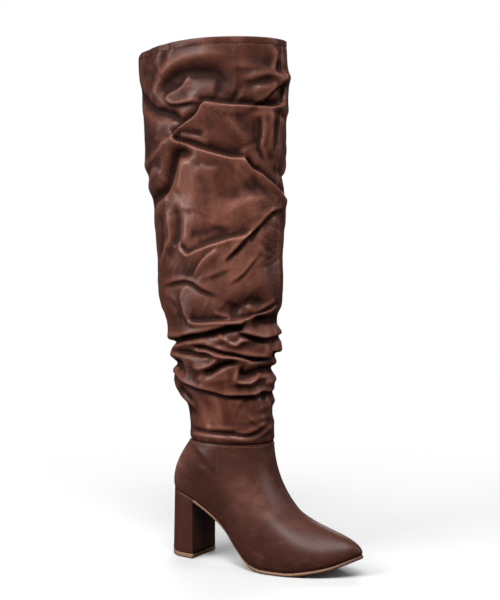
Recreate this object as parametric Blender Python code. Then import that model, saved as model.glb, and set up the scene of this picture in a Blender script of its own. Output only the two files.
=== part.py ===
"""Tall slouched boot for the right foot on a block heel.

Every size is in millimetres on the foot's own axes until the last step: x runs from the heel back to the
toe, y to the inner side of the leg and z up from the floor.
"""

from collections import namedtuple

import bmesh
import bpy
import numpy as np

# Sizes
MM = 0.001
GAP = 0.3
SOLE_THICK = 3.5
SOLE_PROUD = 0.9
SOLE_BEVEL = 0.6
INSOLE_THICK = 2.5
TOP_PIECE_THICK = 5.0
UPPER_WALL = 2.2
SHAFT_WALL = 2.2
SEAM_STEP = 0.5
ANKLE_HEIGHT = 137.0
ANKLE_CENTRE = 75.5
ANKLE_HALF_DEPTH = 49.0
ANKLE_HALF_WIDTH = 40.0
COLLAR_HEIGHT = 574.0
COLLAR_RISE = 6.0
COLLAR_CROWN = 5.0
BAND_TALL = 8.0
BAND_PROUD = 0.8
BAND_WALL = 3.0
HEEL_SPREAD = 0.98
HEEL_WAIST = 0.985
HEEL_KICK = 1.06
BREAST_HOLLOW = 2.0
SEAM_STATION = 7.75
FRONT_SEAM_DEG = -4.0
FRONT_SEAM_RAISE = 0.8
UPPER_ROWS = 13

# Underside of the sole, from the heel seat down the shank to the tread and up the toe spring
SoleRow = namedtuple("SoleRow", "name x floor")
SOLE_ROWS = (
    SoleRow("heel back", 0.0, 75.5),
    SoleRow("seat", 20.0, 71.0),
    SoleRow("heel breast", 38.0, 64.5),
    SoleRow("shank top", 58.0, 53.0),
    SoleRow("shank", 80.0, 37.0),
    SoleRow("shank foot", 100.0, 17.0),
    SoleRow("arch end", 116.0, 4.5),
    SoleRow("tread back", 134.0, 0.0),
    SoleRow("tread front", 166.0, 0.0),
    SoleRow("toe spring", 185.0, 4.5),
    SoleRow("toe rise", 210.0, 11.8),
    SoleRow("toe tip", 237.0, 22.0),
)

# Stations along the feather line, toe to heel: its width to each side, and the handles of the wall above it.
# bulge and rise shape the wall where it leaves the sole, drop and lean where it reaches the ankle at deg.
LastRow = namedtuple("LastRow", "name x outer inner bulge rise deg drop lean")
LAST_ROWS = (
    LastRow("toe tip", 237.0, 5.0, 5.0, 1.0, 25.0, 0.0, 98.0, 2.0),
    LastRow("toe side", 228.0, -6.5, 15.0, 1.5, 24.5, 5.0, 97.0, 2.5),
    LastRow("toe shoulder", 212.0, -18.5, 24.0, 2.5, 26.0, 12.0, 93.0, 3.0),
    LastRow("joint front", 190.0, -29.5, 33.0, 3.5, 31.0, 24.0, 86.0, 3.5),
    LastRow("ball", 165.0, -36.5, 38.5, 4.0, 36.0, 40.0, 73.0, 4.0),
    LastRow("ball back", 142.0, -39.0, 38.0, 4.0, 36.0, 56.0, 58.0, 4.0),
    LastRow("joint back", 120.0, -37.0, 33.0, 4.0, 36.0, 70.0, 50.0, 4.0),
    LastRow("waist front", 98.0, -31.5, 25.5, 4.5, 34.0, 80.0, 42.0, 4.0),
    LastRow("waist", 75.0, -26.0, 21.5, 4.5, 30.0, 92.0, 34.0, 4.0),
    LastRow("heel breast", 38.0, -25.5, 24.5, 4.0, 26.0, 126.0, 24.0, 7.0),
    LastRow("heel side", 18.0, -23.0, 23.0, 4.0, 24.0, 150.0, 18.0, 11.0),
    LastRow("heel corner", 6.0, -13.5, 13.5, 4.0, 22.0, 168.0, 15.0, 12.5),
    LastRow("heel back", 1.2, 0.0, 0.0, 4.0, 22.0, 180.0, 14.0, 13.0),
)
BREAST_STATION = 9
LAST_STATION = len(LAST_ROWS) - 1
ROUND = 2 * LAST_STATION

# Leg sections before any fold
LegRow = namedtuple("LegRow", "height centre half_depth half_width")
LEG_ROWS = (
    LegRow(137.0, 75.5, 50.0, 41.0),
    LegRow(160.0, 75.5, 50.0, 41.0),
    LegRow(180.0, 71.5, 53.0, 42.0),
    LegRow(196.0, 64.5, 59.5, 44.5),
    LegRow(215.0, 64.5, 61.0, 46.5),
    LegRow(240.0, 64.0, 64.5, 48.0),
    LegRow(265.0, 62.5, 68.0, 49.5),
    LegRow(300.0, 59.5, 76.0, 51.0),
    LegRow(350.0, 58.0, 78.0, 52.0),
    LegRow(400.0, 56.5, 82.0, 53.0),
    LegRow(450.0, 52.0, 85.5, 54.5),
    LegRow(500.0, 52.0, 89.0, 56.0),
    LegRow(550.0, 49.5, 92.0, 57.5),
    LegRow(590.0, 48.0, 91.0, 58.0),
)

# Folds of the slouch. deg runs from 0 at the shin over 90 on the outer side to 180 at the calf and 270 on
# the inner side. Each crease goes from (start, from_z) to (end, to_z) with its middle sagging by sag, is
# deep by depth within half of it, and throws up a lip at rise above it (below it where rise is negative).
FoldRow = namedtuple("FoldRow", "name start end from_z to_z sag depth half lip rise")
FOLD_ROWS = (
    FoldRow("collar hollow", 122.0, 44.0, 539.0, 533.0, -12.0, 6.0, 11.0, 3.0, 18.0),
    FoldRow("upper shelf", 114.0, -18.0, 522.0, 521.0, 8.0, 5.0, 7.0, 5.0, -10.0),
    FoldRow("calf dent", 200.0, 112.0, 494.0, 498.0, 0.0, 5.0, 13.0, 3.0, -36.0),
    FoldRow("elbow", 120.0, 30.0, 481.0, 456.0, 3.0, 5.0, 6.0, 5.0, -9.0),
    FoldRow("calf trough", 92.0, 175.0, 462.0, 387.0, 0.0, 9.0, 9.0, 4.0, 18.0),
    FoldRow("shin swing", 54.0, -40.0, 464.0, 430.0, 0.0, 6.0, 10.0, 5.0, -18.0),
    FoldRow("balloon ridge", 110.0, 40.0, 356.0, 374.0, 0.0, 4.0, 9.0, 4.0, -10.0),
    FoldRow("balloon crease", 70.0, -8.0, 338.0, 403.0, 0.0, 4.0, 6.0, 3.0, 10.0),
    FoldRow("knee hollow", 148.0, 56.0, 305.0, 300.0, -12.0, 4.0, 7.0, 3.0, -10.0),
    FoldRow("pocket rim", 112.0, -6.0, 289.0, 297.0, 2.0, 5.0, 8.0, 5.0, -13.0),
    FoldRow("balloon lip", 185.0, -60.0, 241.0, 273.0, -9.0, 10.0, 6.0, 4.0, 9.0),
    FoldRow("shin spike", 70.0, -44.0, 263.0, 246.0, 0.0, 7.0, 5.5, 5.0, 9.0),
    FoldRow("long slit", 108.0, -10.0, 248.0, 231.0, 0.0, 7.0, 5.0, 3.0, -7.0),
    FoldRow("calf slit", 170.0, 62.0, 232.0, 236.0, -2.0, 4.0, 4.5, 2.0, -7.0),
    FoldRow("lower pocket", 66.0, -26.0, 214.0, 219.0, 0.0, 6.0, 6.0, 3.0, -9.0),
    FoldRow("calf notch", 178.0, 92.0, 220.0, 225.0, 0.0, 6.0, 5.0, 2.0, 7.0),
    FoldRow("shaft tuck", 184.0, -34.0, 214.0, 192.0, 5.0, 4.0, 5.0, 2.5, 8.0),
    FoldRow("ankle roll", 184.0, -30.0, 146.0, 151.0, -2.0, 1.5, 4.0, 1.5, -7.0),
    FoldRow("inner oblique", 344.0, 214.0, 542.0, 500.0, 4.0, 5.0, 9.0, 4.0, -13.0),
    FoldRow("inner fold", 352.0, 206.0, 449.0, 418.0, 0.0, 6.0, 8.0, 4.0, 11.0),
    FoldRow("inner middle", 336.0, 226.0, 378.0, 330.0, 0.0, 4.0, 9.0, 3.0, 12.0),
    FoldRow("inner rim", 340.0, 200.0, 296.0, 302.0, 4.0, 4.0, 8.0, 4.0, -13.0),
    FoldRow("inner lip", 356.0, 178.0, 262.0, 250.0, 4.0, 8.0, 6.0, 4.0, 9.0),
    FoldRow("inner slit", 346.0, 192.0, 237.0, 229.0, 3.0, 6.0, 5.0, 3.0, -7.0),
    FoldRow("inner notch", 354.0, 182.0, 215.0, 210.0, 4.0, 5.0, 5.0, 3.0, 8.0),
    FoldRow("inner tuck", 340.0, 188.0, 190.0, 186.0, 3.0, 3.0, 5.0, 1.5, 7.0),
    FoldRow("inner roll", 350.0, 188.0, 151.0, 147.0, 0.0, 1.5, 4.0, 1.5, -7.0),
)

# Bands of mesh rows up the leg: closer where it slouches most
LegBand = namedtuple("LegBand", "foot head rows")
LEG_BANDS = (
    LegBand(ANKLE_HEIGHT + GAP, 182.0, 6),
    LegBand(182.0, 290.0, 22),
    LegBand(290.0, COLLAR_HEIGHT - BAND_TALL - GAP, 22),
)
LEG_COLUMNS = 36

# Finishes
BROWN = (0.075, 0.026, 0.016, 1.0)
TAN = (0.42, 0.20, 0.09, 1.0)
LINING = (0.30, 0.20, 0.13, 1.0)


def smooth(knots, values, at):
    """A curve through rows of a table: cubic pieces whose slopes come from the rows on either side."""
    knots = np.asarray(knots, float)
    values = np.asarray(values, float)
    at = np.clip(at, knots[0], knots[-1])
    slopes = np.gradient(values, knots)
    below = np.clip(np.searchsorted(knots, at, side="right") - 1, 0, len(knots) - 2)
    width = knots[below + 1] - knots[below]
    t = (at - knots[below]) / width
    start = (2 * t**3 - 3 * t**2 + 1) * values[below] + (t**3 - 2 * t**2 + t) * width * slopes[below]
    end = (3 * t**2 - 2 * t**3) * values[below + 1] + (t**3 - t**2) * width * slopes[below + 1]
    return start + end


def column(rows, name):
    """One named column of a table."""
    return np.array([getattr(row, name) for row in rows], float)


def sole_floor(x):
    """Height of the sole's underside at x, flat where it treads."""
    return np.maximum(smooth(column(SOLE_ROWS, "x"), column(SOLE_ROWS, "floor"), x), 0.0)


def sole_top(x):
    """Height of the sole's upper face: its thickness measured square to the slope."""
    slope = sole_floor(x + 0.5) - sole_floor(x - 0.5)
    return sole_floor(x) + SOLE_THICK * np.sqrt(1.0 + slope**2)


def round_the_last(name, station, inner_name=None):
    """A column of the last's table followed from the toe along the outer side to the heel and back."""
    outer = column(LAST_ROWS, name)
    inner = column(LAST_ROWS, inner_name or name)
    loop = np.concatenate([outer, inner[-2:0:-1]])
    knots = np.arange(-3, ROUND + 4)
    return smooth(knots, loop[knots % ROUND], np.mod(station, ROUND))


def feather_line(station):
    """Plan of the line where the upper meets the sole, and its direction outwards."""
    here = np.stack([round_the_last("x", station), round_the_last("outer", station, "inner")], -1)
    ahead = np.stack([round_the_last("x", station + 0.02), round_the_last("outer", station + 0.02, "inner")], -1)
    behind = np.stack([round_the_last("x", station - 0.02), round_the_last("outer", station - 0.02, "inner")], -1)
    along = ahead - behind
    out = np.stack([-along[..., 1], along[..., 0]], -1)
    return here, out / np.linalg.norm(out, axis=-1, keepdims=True)


def ankle_ring(deg):
    """Point of the ankle seam and its direction outwards, deg as in the folds' table."""
    turn = np.radians(deg)
    point = np.stack([ANKLE_CENTRE + ANKLE_HALF_DEPTH * np.cos(turn), -ANKLE_HALF_WIDTH * np.sin(turn)], -1)
    out = np.stack([np.cos(turn) / ANKLE_HALF_DEPTH, -np.sin(turn) / ANKLE_HALF_WIDTH], -1)
    return point, out / np.linalg.norm(out, axis=-1, keepdims=True)


def last_stations():
    """Stations of the mesh columns round the foot, with a close pair at the seam of each side."""
    plain = np.arange(0.0, ROUND, 0.5)
    seam = np.array([SEAM_STATION - 0.03, SEAM_STATION + 0.03])
    stations = np.concatenate([plain, seam, ROUND - seam])
    return np.sort(stations)


def upper_outside(stations):
    """The foot's outer surface, rows from the sole up to the ankle: each column is one cubic curve."""
    plan, out = feather_line(stations)
    mirrored = np.where(stations > LAST_STATION, 360.0 - 2 * round_the_last("deg", stations), 0.0)
    ring, ring_out = ankle_ring(round_the_last("deg", stations) + mirrored)
    foot = np.column_stack([plan, sole_top(plan[:, 0]) + GAP])
    head = np.column_stack([ring, np.full(len(stations), ANKLE_HEIGHT)])
    low = foot + np.column_stack([
        out * round_the_last("bulge", stations)[:, None],
        round_the_last("rise", stations),
    ])
    high = head + np.column_stack([
        ring_out * round_the_last("lean", stations)[:, None],
        -round_the_last("drop", stations),
    ])
    t = np.linspace(0.0, 1.0, UPPER_ROWS)[:, None, None]
    return (1 - t) ** 3 * foot + 3 * t * (1 - t) ** 2 * low + 3 * t**2 * (1 - t) * high + t**3 * head


def outward(surface):
    """Unit directions out of a surface of rows of closed rings."""
    around = np.roll(surface, -1, axis=1) - np.roll(surface, 1, axis=1)
    up = np.gradient(surface, axis=0)
    normal = np.cross(up, around)
    return normal / np.linalg.norm(normal, axis=-1, keepdims=True)


def upper_walls():
    """Outer and inner surfaces of the foot. The vamp laps over the quarters, a step at each side seam."""
    stations = last_stations()
    surface = upper_outside(stations)
    out = outward(surface)
    is_vamp = (stations < SEAM_STATION) | (stations > ROUND - SEAM_STATION)
    fade = np.clip(np.linspace(0.0, 6.0, UPPER_ROWS), 0.0, 1.0)
    outer = surface + out * (SEAM_STEP * is_vamp * fade[:, None])[..., None]
    inner = surface - out * UPPER_WALL
    inner[0, :, 2] = sole_top(inner[0, :, 0]) + GAP
    outer[-1, :, 2] = ANKLE_HEIGHT
    inner[-1, :, 2] = ANKLE_HEIGHT
    return outer, inner


def leg_section(height):
    """Centre, half depth and half width of the plain leg at a height."""
    heights = column(LEG_ROWS, "height")
    return [smooth(heights, column(LEG_ROWS, name), height) for name in ("centre", "half_depth", "half_width")]


def fold_relief(deg, height):
    """How far the folds push the leather out (or in, below zero) at a place on the leg."""
    relief = np.zeros(np.broadcast(deg, height).shape)
    for fold in FOLD_ROWS:
        span = fold.end - fold.start
        from_start = np.mod((deg - fold.start) * np.sign(span), 360.0)
        share = np.clip(from_start / abs(span), 0.0, 1.0)
        strength = np.sqrt(np.sin(np.pi * share) + 1e-9)
        crease = fold.from_z + (fold.to_z - fold.from_z) * share - fold.sag * 4 * share * (1 - share)
        above = height - crease
        valley = -fold.depth * np.exp(-((above / fold.half) ** 2))
        lip = fold.lip * np.exp(-(((above - fold.rise) / (1.2 * fold.half)) ** 2))
        relief = relief + strength * (valley + lip)
    return relief


def collar_line(deg):
    """Height of the collar's edge, higher at the shin than at the calf and arched over both sides."""
    turn = np.radians(deg)
    return COLLAR_HEIGHT + COLLAR_RISE * np.cos(turn) + COLLAR_CROWN * np.sin(turn) ** 2


def leg_columns():
    """Bearings of the mesh columns round the leg, with three close ones over the shin seam."""
    plain = np.arange(LEG_COLUMNS) * 360.0 / LEG_COLUMNS
    clear = plain[np.abs(np.mod(plain - FRONT_SEAM_DEG + 180.0, 360.0) - 180.0) > 4.0]
    seam = FRONT_SEAM_DEG + 360.0 + np.array([-2.4, 0.0, 2.4])
    return np.sort(np.concatenate([clear, np.mod(seam, 360.0)]))


def leg_heights():
    """Heights of the mesh rows up the leg."""
    heights = [np.linspace(band.foot, band.head, band.rows, endpoint=False) for band in LEG_BANDS]
    return np.concatenate(heights + [[LEG_BANDS[-1].head]])


def leg_surface(deg, height, inset):
    """Leg's surface at bearings and heights, inset from the outside by so much."""
    centre, half_depth, half_width = leg_section(height)
    relief = fold_relief(deg, height) - inset
    from_seam = np.mod(deg - FRONT_SEAM_DEG + 180.0, 360.0) - 180.0
    raised = FRONT_SEAM_RAISE * (np.abs(from_seam) < 0.5) * (inset == 0.0)
    fade = np.clip((collar_line(deg) - BAND_TALL - height) / 6.0, 0.0, 1.0)
    turn = np.radians(deg)
    x = centre + (half_depth + relief + raised * fade) * np.cos(turn)
    y = -(half_width + relief + raised * fade) * np.sin(turn)
    return np.stack([x, y, height + np.zeros_like(x)], -1)


def leg_grid():
    """Bearing and height of every mesh point of the leg: the rows tilt gradually with the collar."""
    deg = leg_columns()[None, :]
    flat = leg_heights()[:, None]
    share = np.clip((flat - LEG_BANDS[-1].foot) / (LEG_BANDS[-1].head - LEG_BANDS[-1].foot), 0.0, 1.0)
    height = flat + (collar_line(deg) - COLLAR_HEIGHT) * share
    return deg + np.zeros_like(height), height


def shaft_walls():
    """Outer and inner surfaces of the leg."""
    deg, height = leg_grid()
    return leg_surface(deg, height, 0.0), leg_surface(deg, height, SHAFT_WALL)


def band_walls():
    """Outer and inner surfaces of the collar band, a rolled strip standing on the leg's top edge."""
    deg = leg_columns()[None, :]
    share = np.array([0.0, 0.12, 0.88, 1.0])[:, None]
    swell = np.array([-0.5, 0.0, 0.0, -0.7])[:, None]
    height = collar_line(deg) - BAND_TALL * (1.0 - share)
    low = collar_line(deg) - BAND_TALL
    ring = leg_surface(deg, low + np.zeros_like(height), 0.0)
    inner_ring = leg_surface(deg, low + np.zeros_like(height), BAND_WALL - BAND_PROUD)
    away = ring - inner_ring
    away = away / np.linalg.norm(away, axis=-1, keepdims=True)
    outer = ring + away * (BAND_PROUD + swell)[..., None]
    inner = inner_ring - away * swell[..., None]
    outer[..., 2] = height
    inner[..., 2] = height
    return outer, inner


def heel_rings():
    """Outlines of the heel from floor to seat: index 0 is the middle of its breast."""
    stations = np.arange(BREAST_STATION, ROUND - BREAST_STATION + 0.25, 0.5)
    plan, _ = feather_line(stations)
    breast = column(LAST_ROWS, "x")[BREAST_STATION]
    middle = np.array([[breast - BREAST_HOLLOW, 0.5 * (plan[0, 1] + plan[-1, 1])]])
    seat = np.concatenate([middle, plan])
    floor = np.column_stack([breast - (breast - seat[:, 0]) * HEEL_KICK, seat[:, 1] * HEEL_SPREAD])
    return floor, seat


def heel_block_rings():
    """Rings of the heel block, its top following the seat."""
    floor, seat = heel_rings()
    rings = []
    for share in (0.0, 0.35, 0.7, 1.0):
        plan = floor + (seat - floor) * share
        waist = 1.0 - (1.0 - HEEL_WAIST) * 4 * share * (1 - share)
        plan = np.column_stack([plan[:, 0], plan[:, 1] * waist])
        foot = TOP_PIECE_THICK + GAP
        head = sole_top(seat[:, 0])
        rings.append(np.column_stack([plan, foot + (head - foot) * share]))
    return rings


def top_piece_rings():
    """Rings of the wearing piece under the heel."""
    floor, _ = heel_rings()
    centre = floor.mean(axis=0)
    drawn_in = centre + (floor - centre) * 0.985
    flat = np.ones((len(floor), 1))
    return [
        np.hstack([drawn_in, 0.0 * flat]),
        np.hstack([floor, 0.8 * flat]),
        np.hstack([floor, TOP_PIECE_THICK * flat]),
    ]


def outsole_rings():
    """Rings of the sole from toe to heel breast: underside, edge and top."""
    stations = last_stations()
    outer = stations[stations < BREAST_STATION]
    stations = np.concatenate([outer, [BREAST_STATION, ROUND - BREAST_STATION], ROUND - outer[:0:-1]])
    plan, out = feather_line(stations)
    breast = column(LAST_ROWS, "x")[BREAST_STATION]
    ahead = np.clip((plan[:, 0] - breast) / 60.0, 0.0, 1.0)[:, None]
    edge = plan + out * SOLE_PROUD * ahead
    under = plan + out * (SOLE_PROUD * ahead - SOLE_BEVEL)
    edge[:, 0] = np.maximum(edge[:, 0], breast + GAP)
    under[:, 0] = np.maximum(under[:, 0], breast + GAP)
    floor = sole_floor(edge[:, 0])
    top = sole_top(edge[:, 0])
    return [
        np.column_stack([under, sole_floor(under[:, 0])]),
        np.column_stack([edge, floor + 0.25 * (top - floor)]),
        np.column_stack([edge, top]),
    ]


def insole_rings():
    """Rings of the footbed, just clear of the upper's inside."""
    stations = last_stations()
    plan, out = feather_line(stations)
    low = plan - out * (UPPER_WALL + 2 * GAP)
    high = plan - out * (UPPER_WALL + 3 * GAP)
    return [
        np.column_stack([low, sole_top(low[:, 0]) + GAP]),
        np.column_stack([high, sole_top(high[:, 0]) + GAP + INSOLE_THICK]),
    ]


def hollow_faces(rows, around):
    """Faces of a wall between an outer and an inner surface, open at both ends."""
    faces = []
    shift = rows * around
    for i in range(around):
        j = (i + 1) % around
        for row in range(rows - 1):
            a, b = row * around, (row + 1) * around
            faces.append((a + i, a + j, b + j, b + i))
            faces.append((shift + a + j, shift + a + i, shift + b + i, shift + b + j))
        last = (rows - 1) * around
        faces.append((i, shift + i, shift + j, j))
        faces.append((last + j, shift + last + j, shift + last + i, last + i))
    return faces


def cap_faces(around, first):
    """Faces across a ring, joining each point to the one facing it on the other side."""
    faces = [(first, first + 1, first + around - 1)]
    i = 1
    while i + 1 < around - i - 1:
        faces.append((first + i, first + i + 1, first + around - i - 1, first + around - i))
        i += 1
    if around % 2 == 0:
        faces.append((first + i, first + i + 1, first + around - i))
    return faces


def solid_faces(rings, around):
    """Faces of a solid body of rings closed at both ends."""
    faces = cap_faces(around, 0) + cap_faces(around, (rings - 1) * around)
    for ring in range(rings - 1):
        a, b = ring * around, (ring + 1) * around
        for i in range(around):
            j = (i + 1) % around
            faces.append((a + i, a + j, b + j, b + i))
    return faces


def hollow(walls):
    """Points and faces of a hollow piece."""
    outer, inner = walls
    points = np.concatenate([outer.reshape(-1, 3), inner.reshape(-1, 3)])
    return points, hollow_faces(outer.shape[0], outer.shape[1])


def solid(rings):
    """Points and faces of a solid piece."""
    return np.concatenate(rings), solid_faces(len(rings), len(rings[0]))


def finish(name, colour, roughness):
    """A plain material."""
    material = bpy.data.materials.new(name)
    material.use_nodes = True
    shader = material.node_tree.nodes["Principled BSDF"]
    shader.inputs["Base Color"].default_value = colour
    shader.inputs["Roughness"].default_value = roughness
    shader.inputs["Metallic"].default_value = 0.0
    return material


def piece(name, points, faces, material):
    """One named object, its faces turned outwards."""
    mesh = bpy.data.meshes.new(name)
    mesh.from_pydata([tuple(point) for point in points * MM], [], faces)
    shape = bmesh.new()
    shape.from_mesh(mesh)
    bmesh.ops.recalc_face_normals(shape, faces=shape.faces)
    shape.to_mesh(mesh)
    shape.free()
    mesh.materials.append(material)
    made = bpy.data.objects.new(name, mesh)
    bpy.context.scene.collection.objects.link(made)
    return made


def build():
    """Clears the scene and builds the boot, its bottom centre at the origin."""
    for old in list(bpy.data.objects):
        bpy.data.objects.remove(old, do_unlink=True)
    brown = finish("brown leather", BROWN, 0.42)
    covered = finish("heel cover", BROWN, 0.40)
    slouch = finish("slouch leather", BROWN, 0.38)
    band = finish("band leather", BROWN, 0.45)
    tan = finish("tan sole", TAN, 0.55)
    wear = finish("tan top piece", TAN, 0.60)
    bed = finish("footbed", LINING, 0.75)
    shapes = (
        ("outsole", solid(outsole_rings()), tan),
        ("heel_block", solid(heel_block_rings()), covered),
        ("heel_top_piece", solid(top_piece_rings()), wear),
        ("insole", solid(insole_rings()), bed),
        ("upper", hollow(upper_walls()), brown),
        ("shaft", hollow(shaft_walls()), slouch),
        ("collar_band", hollow(band_walls()), band),
    )
    every = np.concatenate([shape[0] for _, shape, _ in shapes])
    low, high = every.min(axis=0), every.max(axis=0)
    origin = np.array([0.5 * (low[0] + high[0]), 0.5 * (low[1] + high[1]), low[2]])
    for name, (points, faces), material in shapes:
        piece(name, points - origin, faces, material)


build()
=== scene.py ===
"""Tall slouched boot for the right foot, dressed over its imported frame.

Lengths are in millimetres on the foot's own axes until a mesh is made: x runs from the heel back to the toe,
y to the inner side of the leg and z up from the floor. A bearing on the leg is 0 at the shin, 90 on the outer
side, 180 at the calf and 270 on the inner side.
"""

import logging
import math
from dataclasses import dataclass
from enum import Enum
from typing import NamedTuple, Sequence

import bpy
import numpy as np
from mathutils import Matrix, Vector


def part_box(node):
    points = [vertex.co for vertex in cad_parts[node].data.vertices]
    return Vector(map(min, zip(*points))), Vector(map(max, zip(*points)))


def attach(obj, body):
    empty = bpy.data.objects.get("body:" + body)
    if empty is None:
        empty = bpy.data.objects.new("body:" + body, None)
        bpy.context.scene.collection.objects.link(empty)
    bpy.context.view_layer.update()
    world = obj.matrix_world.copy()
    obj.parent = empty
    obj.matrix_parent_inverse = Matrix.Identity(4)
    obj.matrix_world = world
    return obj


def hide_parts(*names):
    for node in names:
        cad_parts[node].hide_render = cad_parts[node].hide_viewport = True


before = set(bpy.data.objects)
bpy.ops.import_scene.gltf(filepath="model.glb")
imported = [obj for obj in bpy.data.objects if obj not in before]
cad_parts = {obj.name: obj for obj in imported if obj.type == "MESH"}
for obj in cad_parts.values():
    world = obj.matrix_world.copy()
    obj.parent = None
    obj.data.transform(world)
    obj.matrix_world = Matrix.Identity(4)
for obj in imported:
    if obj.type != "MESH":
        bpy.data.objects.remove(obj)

MM = 0.001
TINY = 1e-9
LOG = logging.getLogger("boot")
Colour = tuple[float, float, float]
Pair = tuple[float, float]
Array = np.ndarray
Material = bpy.types.Material
Node = bpy.types.Node
Socket = bpy.types.NodeSocket
Tree = bpy.types.NodeTree


# Sizes shared by the pieces

class SoleRow(NamedTuple):
    """Height of the sole's underside at a place along the foot."""

    x: float
    floor: float


class LastRow(NamedTuple):
    """One station of the last: half widths at the sole and the handles of the wall above it."""

    x: float
    outer: float
    inner: float
    bulge: float
    rise: float
    deg: float
    drop: float
    lean: float


class LegRow(NamedTuple):
    """One plain section of the leg."""

    height: float
    centre: float
    half_depth: float
    half_width: float


SOLE_ROWS = (
    SoleRow(0, 75.5), SoleRow(20, 71), SoleRow(38, 64.5), SoleRow(58, 53),
    SoleRow(80, 37), SoleRow(100, 17), SoleRow(116, 4.5), SoleRow(134, 0),
    SoleRow(166, 0), SoleRow(185, 2.9), SoleRow(210, 8.9), SoleRow(237, 20.4),
)
LAST_ROWS = (
    LastRow(237, 5, 5, 2, 35, 0, 104, 2),
    LastRow(228, -6.5, 15, 2.2, 33.5, 5, 102, 2.5),
    LastRow(212, -18.5, 24, 2.8, 32, 12, 96.5, 3),
    LastRow(190, -29.5, 33, 3.5, 33, 24, 87, 3.5),
    LastRow(165, -36.5, 38.5, 4, 36, 40, 73, 4),
    LastRow(142, -39, 38, 4, 36, 56, 58, 4),
    LastRow(120, -37, 33, 4, 36, 70, 50, 4),
    LastRow(98, -31.5, 25.5, 4.5, 34, 80, 42, 4),
    LastRow(75, -26, 21.5, 4.5, 30, 92, 34, 4),
    LastRow(38, -25.5, 24.5, 4, 26, 126, 24, 7),
    LastRow(18, -23, 23, 4, 24, 150, 18, 11),
    LastRow(6, -13.5, 13.5, 4, 22, 168, 15, 12.5),
    LastRow(1.2, 0, 0, 4, 22, 180, 14, 13),
)
LEG_ROWS = (
    LegRow(137, 75.5, 50, 41), LegRow(160, 75.5, 50, 41), LegRow(180, 71.5, 53, 42),
    LegRow(196, 64.5, 59.5, 44.5), LegRow(215, 64.5, 61, 46.5), LegRow(240, 64, 64.5, 48),
    LegRow(265, 62.5, 68, 49.5), LegRow(300, 59.5, 76, 51), LegRow(350, 58, 78, 52),
    LegRow(400, 56.5, 82, 53), LegRow(450, 52, 85.5, 54.5), LegRow(500, 52, 89, 56),
    LegRow(550, 49.5, 92, 57.5), LegRow(590, 48, 91, 58),
)
BREAST_STATION = 9
LAST_STATION = len(LAST_ROWS) - 1
ROUND = 2 * LAST_STATION
SEAM_STATION = 8.0
SEAM_SLANT = -0.55
SOLE_THICK = 3.5
GAP = 0.3
ANKLE_HEIGHT = 137.0
COLLAR_HEIGHT = 574.0
COLLAR_RISE = 6.0
COLLAR_CROWN = 5.0
BAND_TALL = 8.0
SHIN_SEAM_DEG = 0.0
SOFTEN_SHARE = 0.25
INNER_SEAM_STATION = ROUND - SEAM_STATION
STATION_OVERLAP = 3
STATION_NUDGE = 0.02
STEP_LIMIT = 40.0


# Arithmetic shared by the pieces

def smooth(knots: Sequence[float], values: Sequence[float], at: Array) -> Array:
    """A curve through rows of a table: cubic pieces whose slopes come from the rows on either side.

    Args:
        knots: Places of the rows, rising.
        values: The rows' values.
        at: Places to read.

    Returns:
        The curve's value at each place.
    """
    knots = np.asarray(knots, float)
    values = np.asarray(values, float)
    at = np.clip(at, knots[0], knots[-1])
    slopes = np.gradient(values, knots)
    below = np.clip(np.searchsorted(knots, at, side="right") - 1, 0, len(knots) - 2)
    width = knots[below + 1] - knots[below]
    t = (at - knots[below]) / width
    start = (2 * t**3 - 3 * t**2 + 1) * values[below] + (t**3 - 2 * t**2 + t) * width * slopes[below]
    end = (3 * t**2 - 2 * t**3) * values[below + 1] + (t**3 - t**2) * width * slopes[below + 1]
    return start + end


def column(rows: Sequence[tuple], name: str) -> Array:
    """One named column of a table."""
    return np.array([getattr(row, name) for row in rows], float)


def ease(share: Array) -> Array:
    """A soft step from 0 to 1 as share goes from 0 to 1."""
    share = np.clip(share, 0.0, 1.0)
    return share * share * (3.0 - 2.0 * share)


def bell(off: Array, wide: float) -> Array:
    """A bell of height 1: the exponential of minus the square of off over wide."""
    return np.exp(-((off / wide) ** 2))


def step(off: Array, soft: float) -> Array:
    """From 0 well below to 1 well above: the logistic curve of off over soft."""
    return 1.0 / (1.0 + np.exp(np.clip(-off / soft, -STEP_LIMIT, STEP_LIMIT)))


def wrapped(off: Array, turn: float = 360.0) -> Array:
    """The same offset taken the short way round, within half a turn of 0."""
    return np.mod(off + 0.5 * turn, turn) - 0.5 * turn


def soften(field: Array, passes: int) -> Array:
    """A field of closed rows, each point drawn to the mean of its neighbours so many times.

    Args:
        field: Rows by columns; the columns close on themselves.
        passes: How often the mean is taken.

    Returns:
        The softened field.
    """
    for _ in range(passes):
        field = 0.5 * field + SOFTEN_SHARE * (np.roll(field, 1, axis=1) + np.roll(field, -1, axis=1))
        ends = np.pad(field, ((1, 1), (0, 0)), mode="edge")
        field = 0.5 * field + SOFTEN_SHARE * (ends[:-2] + ends[2:])
    return field


def unit(vectors: Array) -> Array:
    """Vectors brought to length one."""
    return vectors / np.maximum(np.linalg.norm(vectors, axis=-1, keepdims=True), TINY)


def joined(plan: Array, height: Array) -> Array:
    """Plan points with their heights set beside them."""
    return np.concatenate([plan, height[..., None]], -1)


def outward(surface: Array) -> Array:
    """Unit directions out of a surface of closed rows: the product of its two directions."""
    around = np.roll(surface, -1, axis=1) - np.roll(surface, 1, axis=1)
    return unit(np.cross(np.gradient(surface, axis=0), around))


def run_along(line: Array) -> Array:
    """Length along a line of points from its start to each of them."""
    return np.concatenate([[0.0], np.cumsum(np.linalg.norm(np.diff(line, axis=0), axis=1))])


def read_along(rows: Array, run: Array, at: Array) -> Array:
    """Rows that are known at some lengths, read between them at others."""
    return np.stack([np.interp(at, run, rows[:, k]) for k in range(rows.shape[1])], -1)


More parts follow.
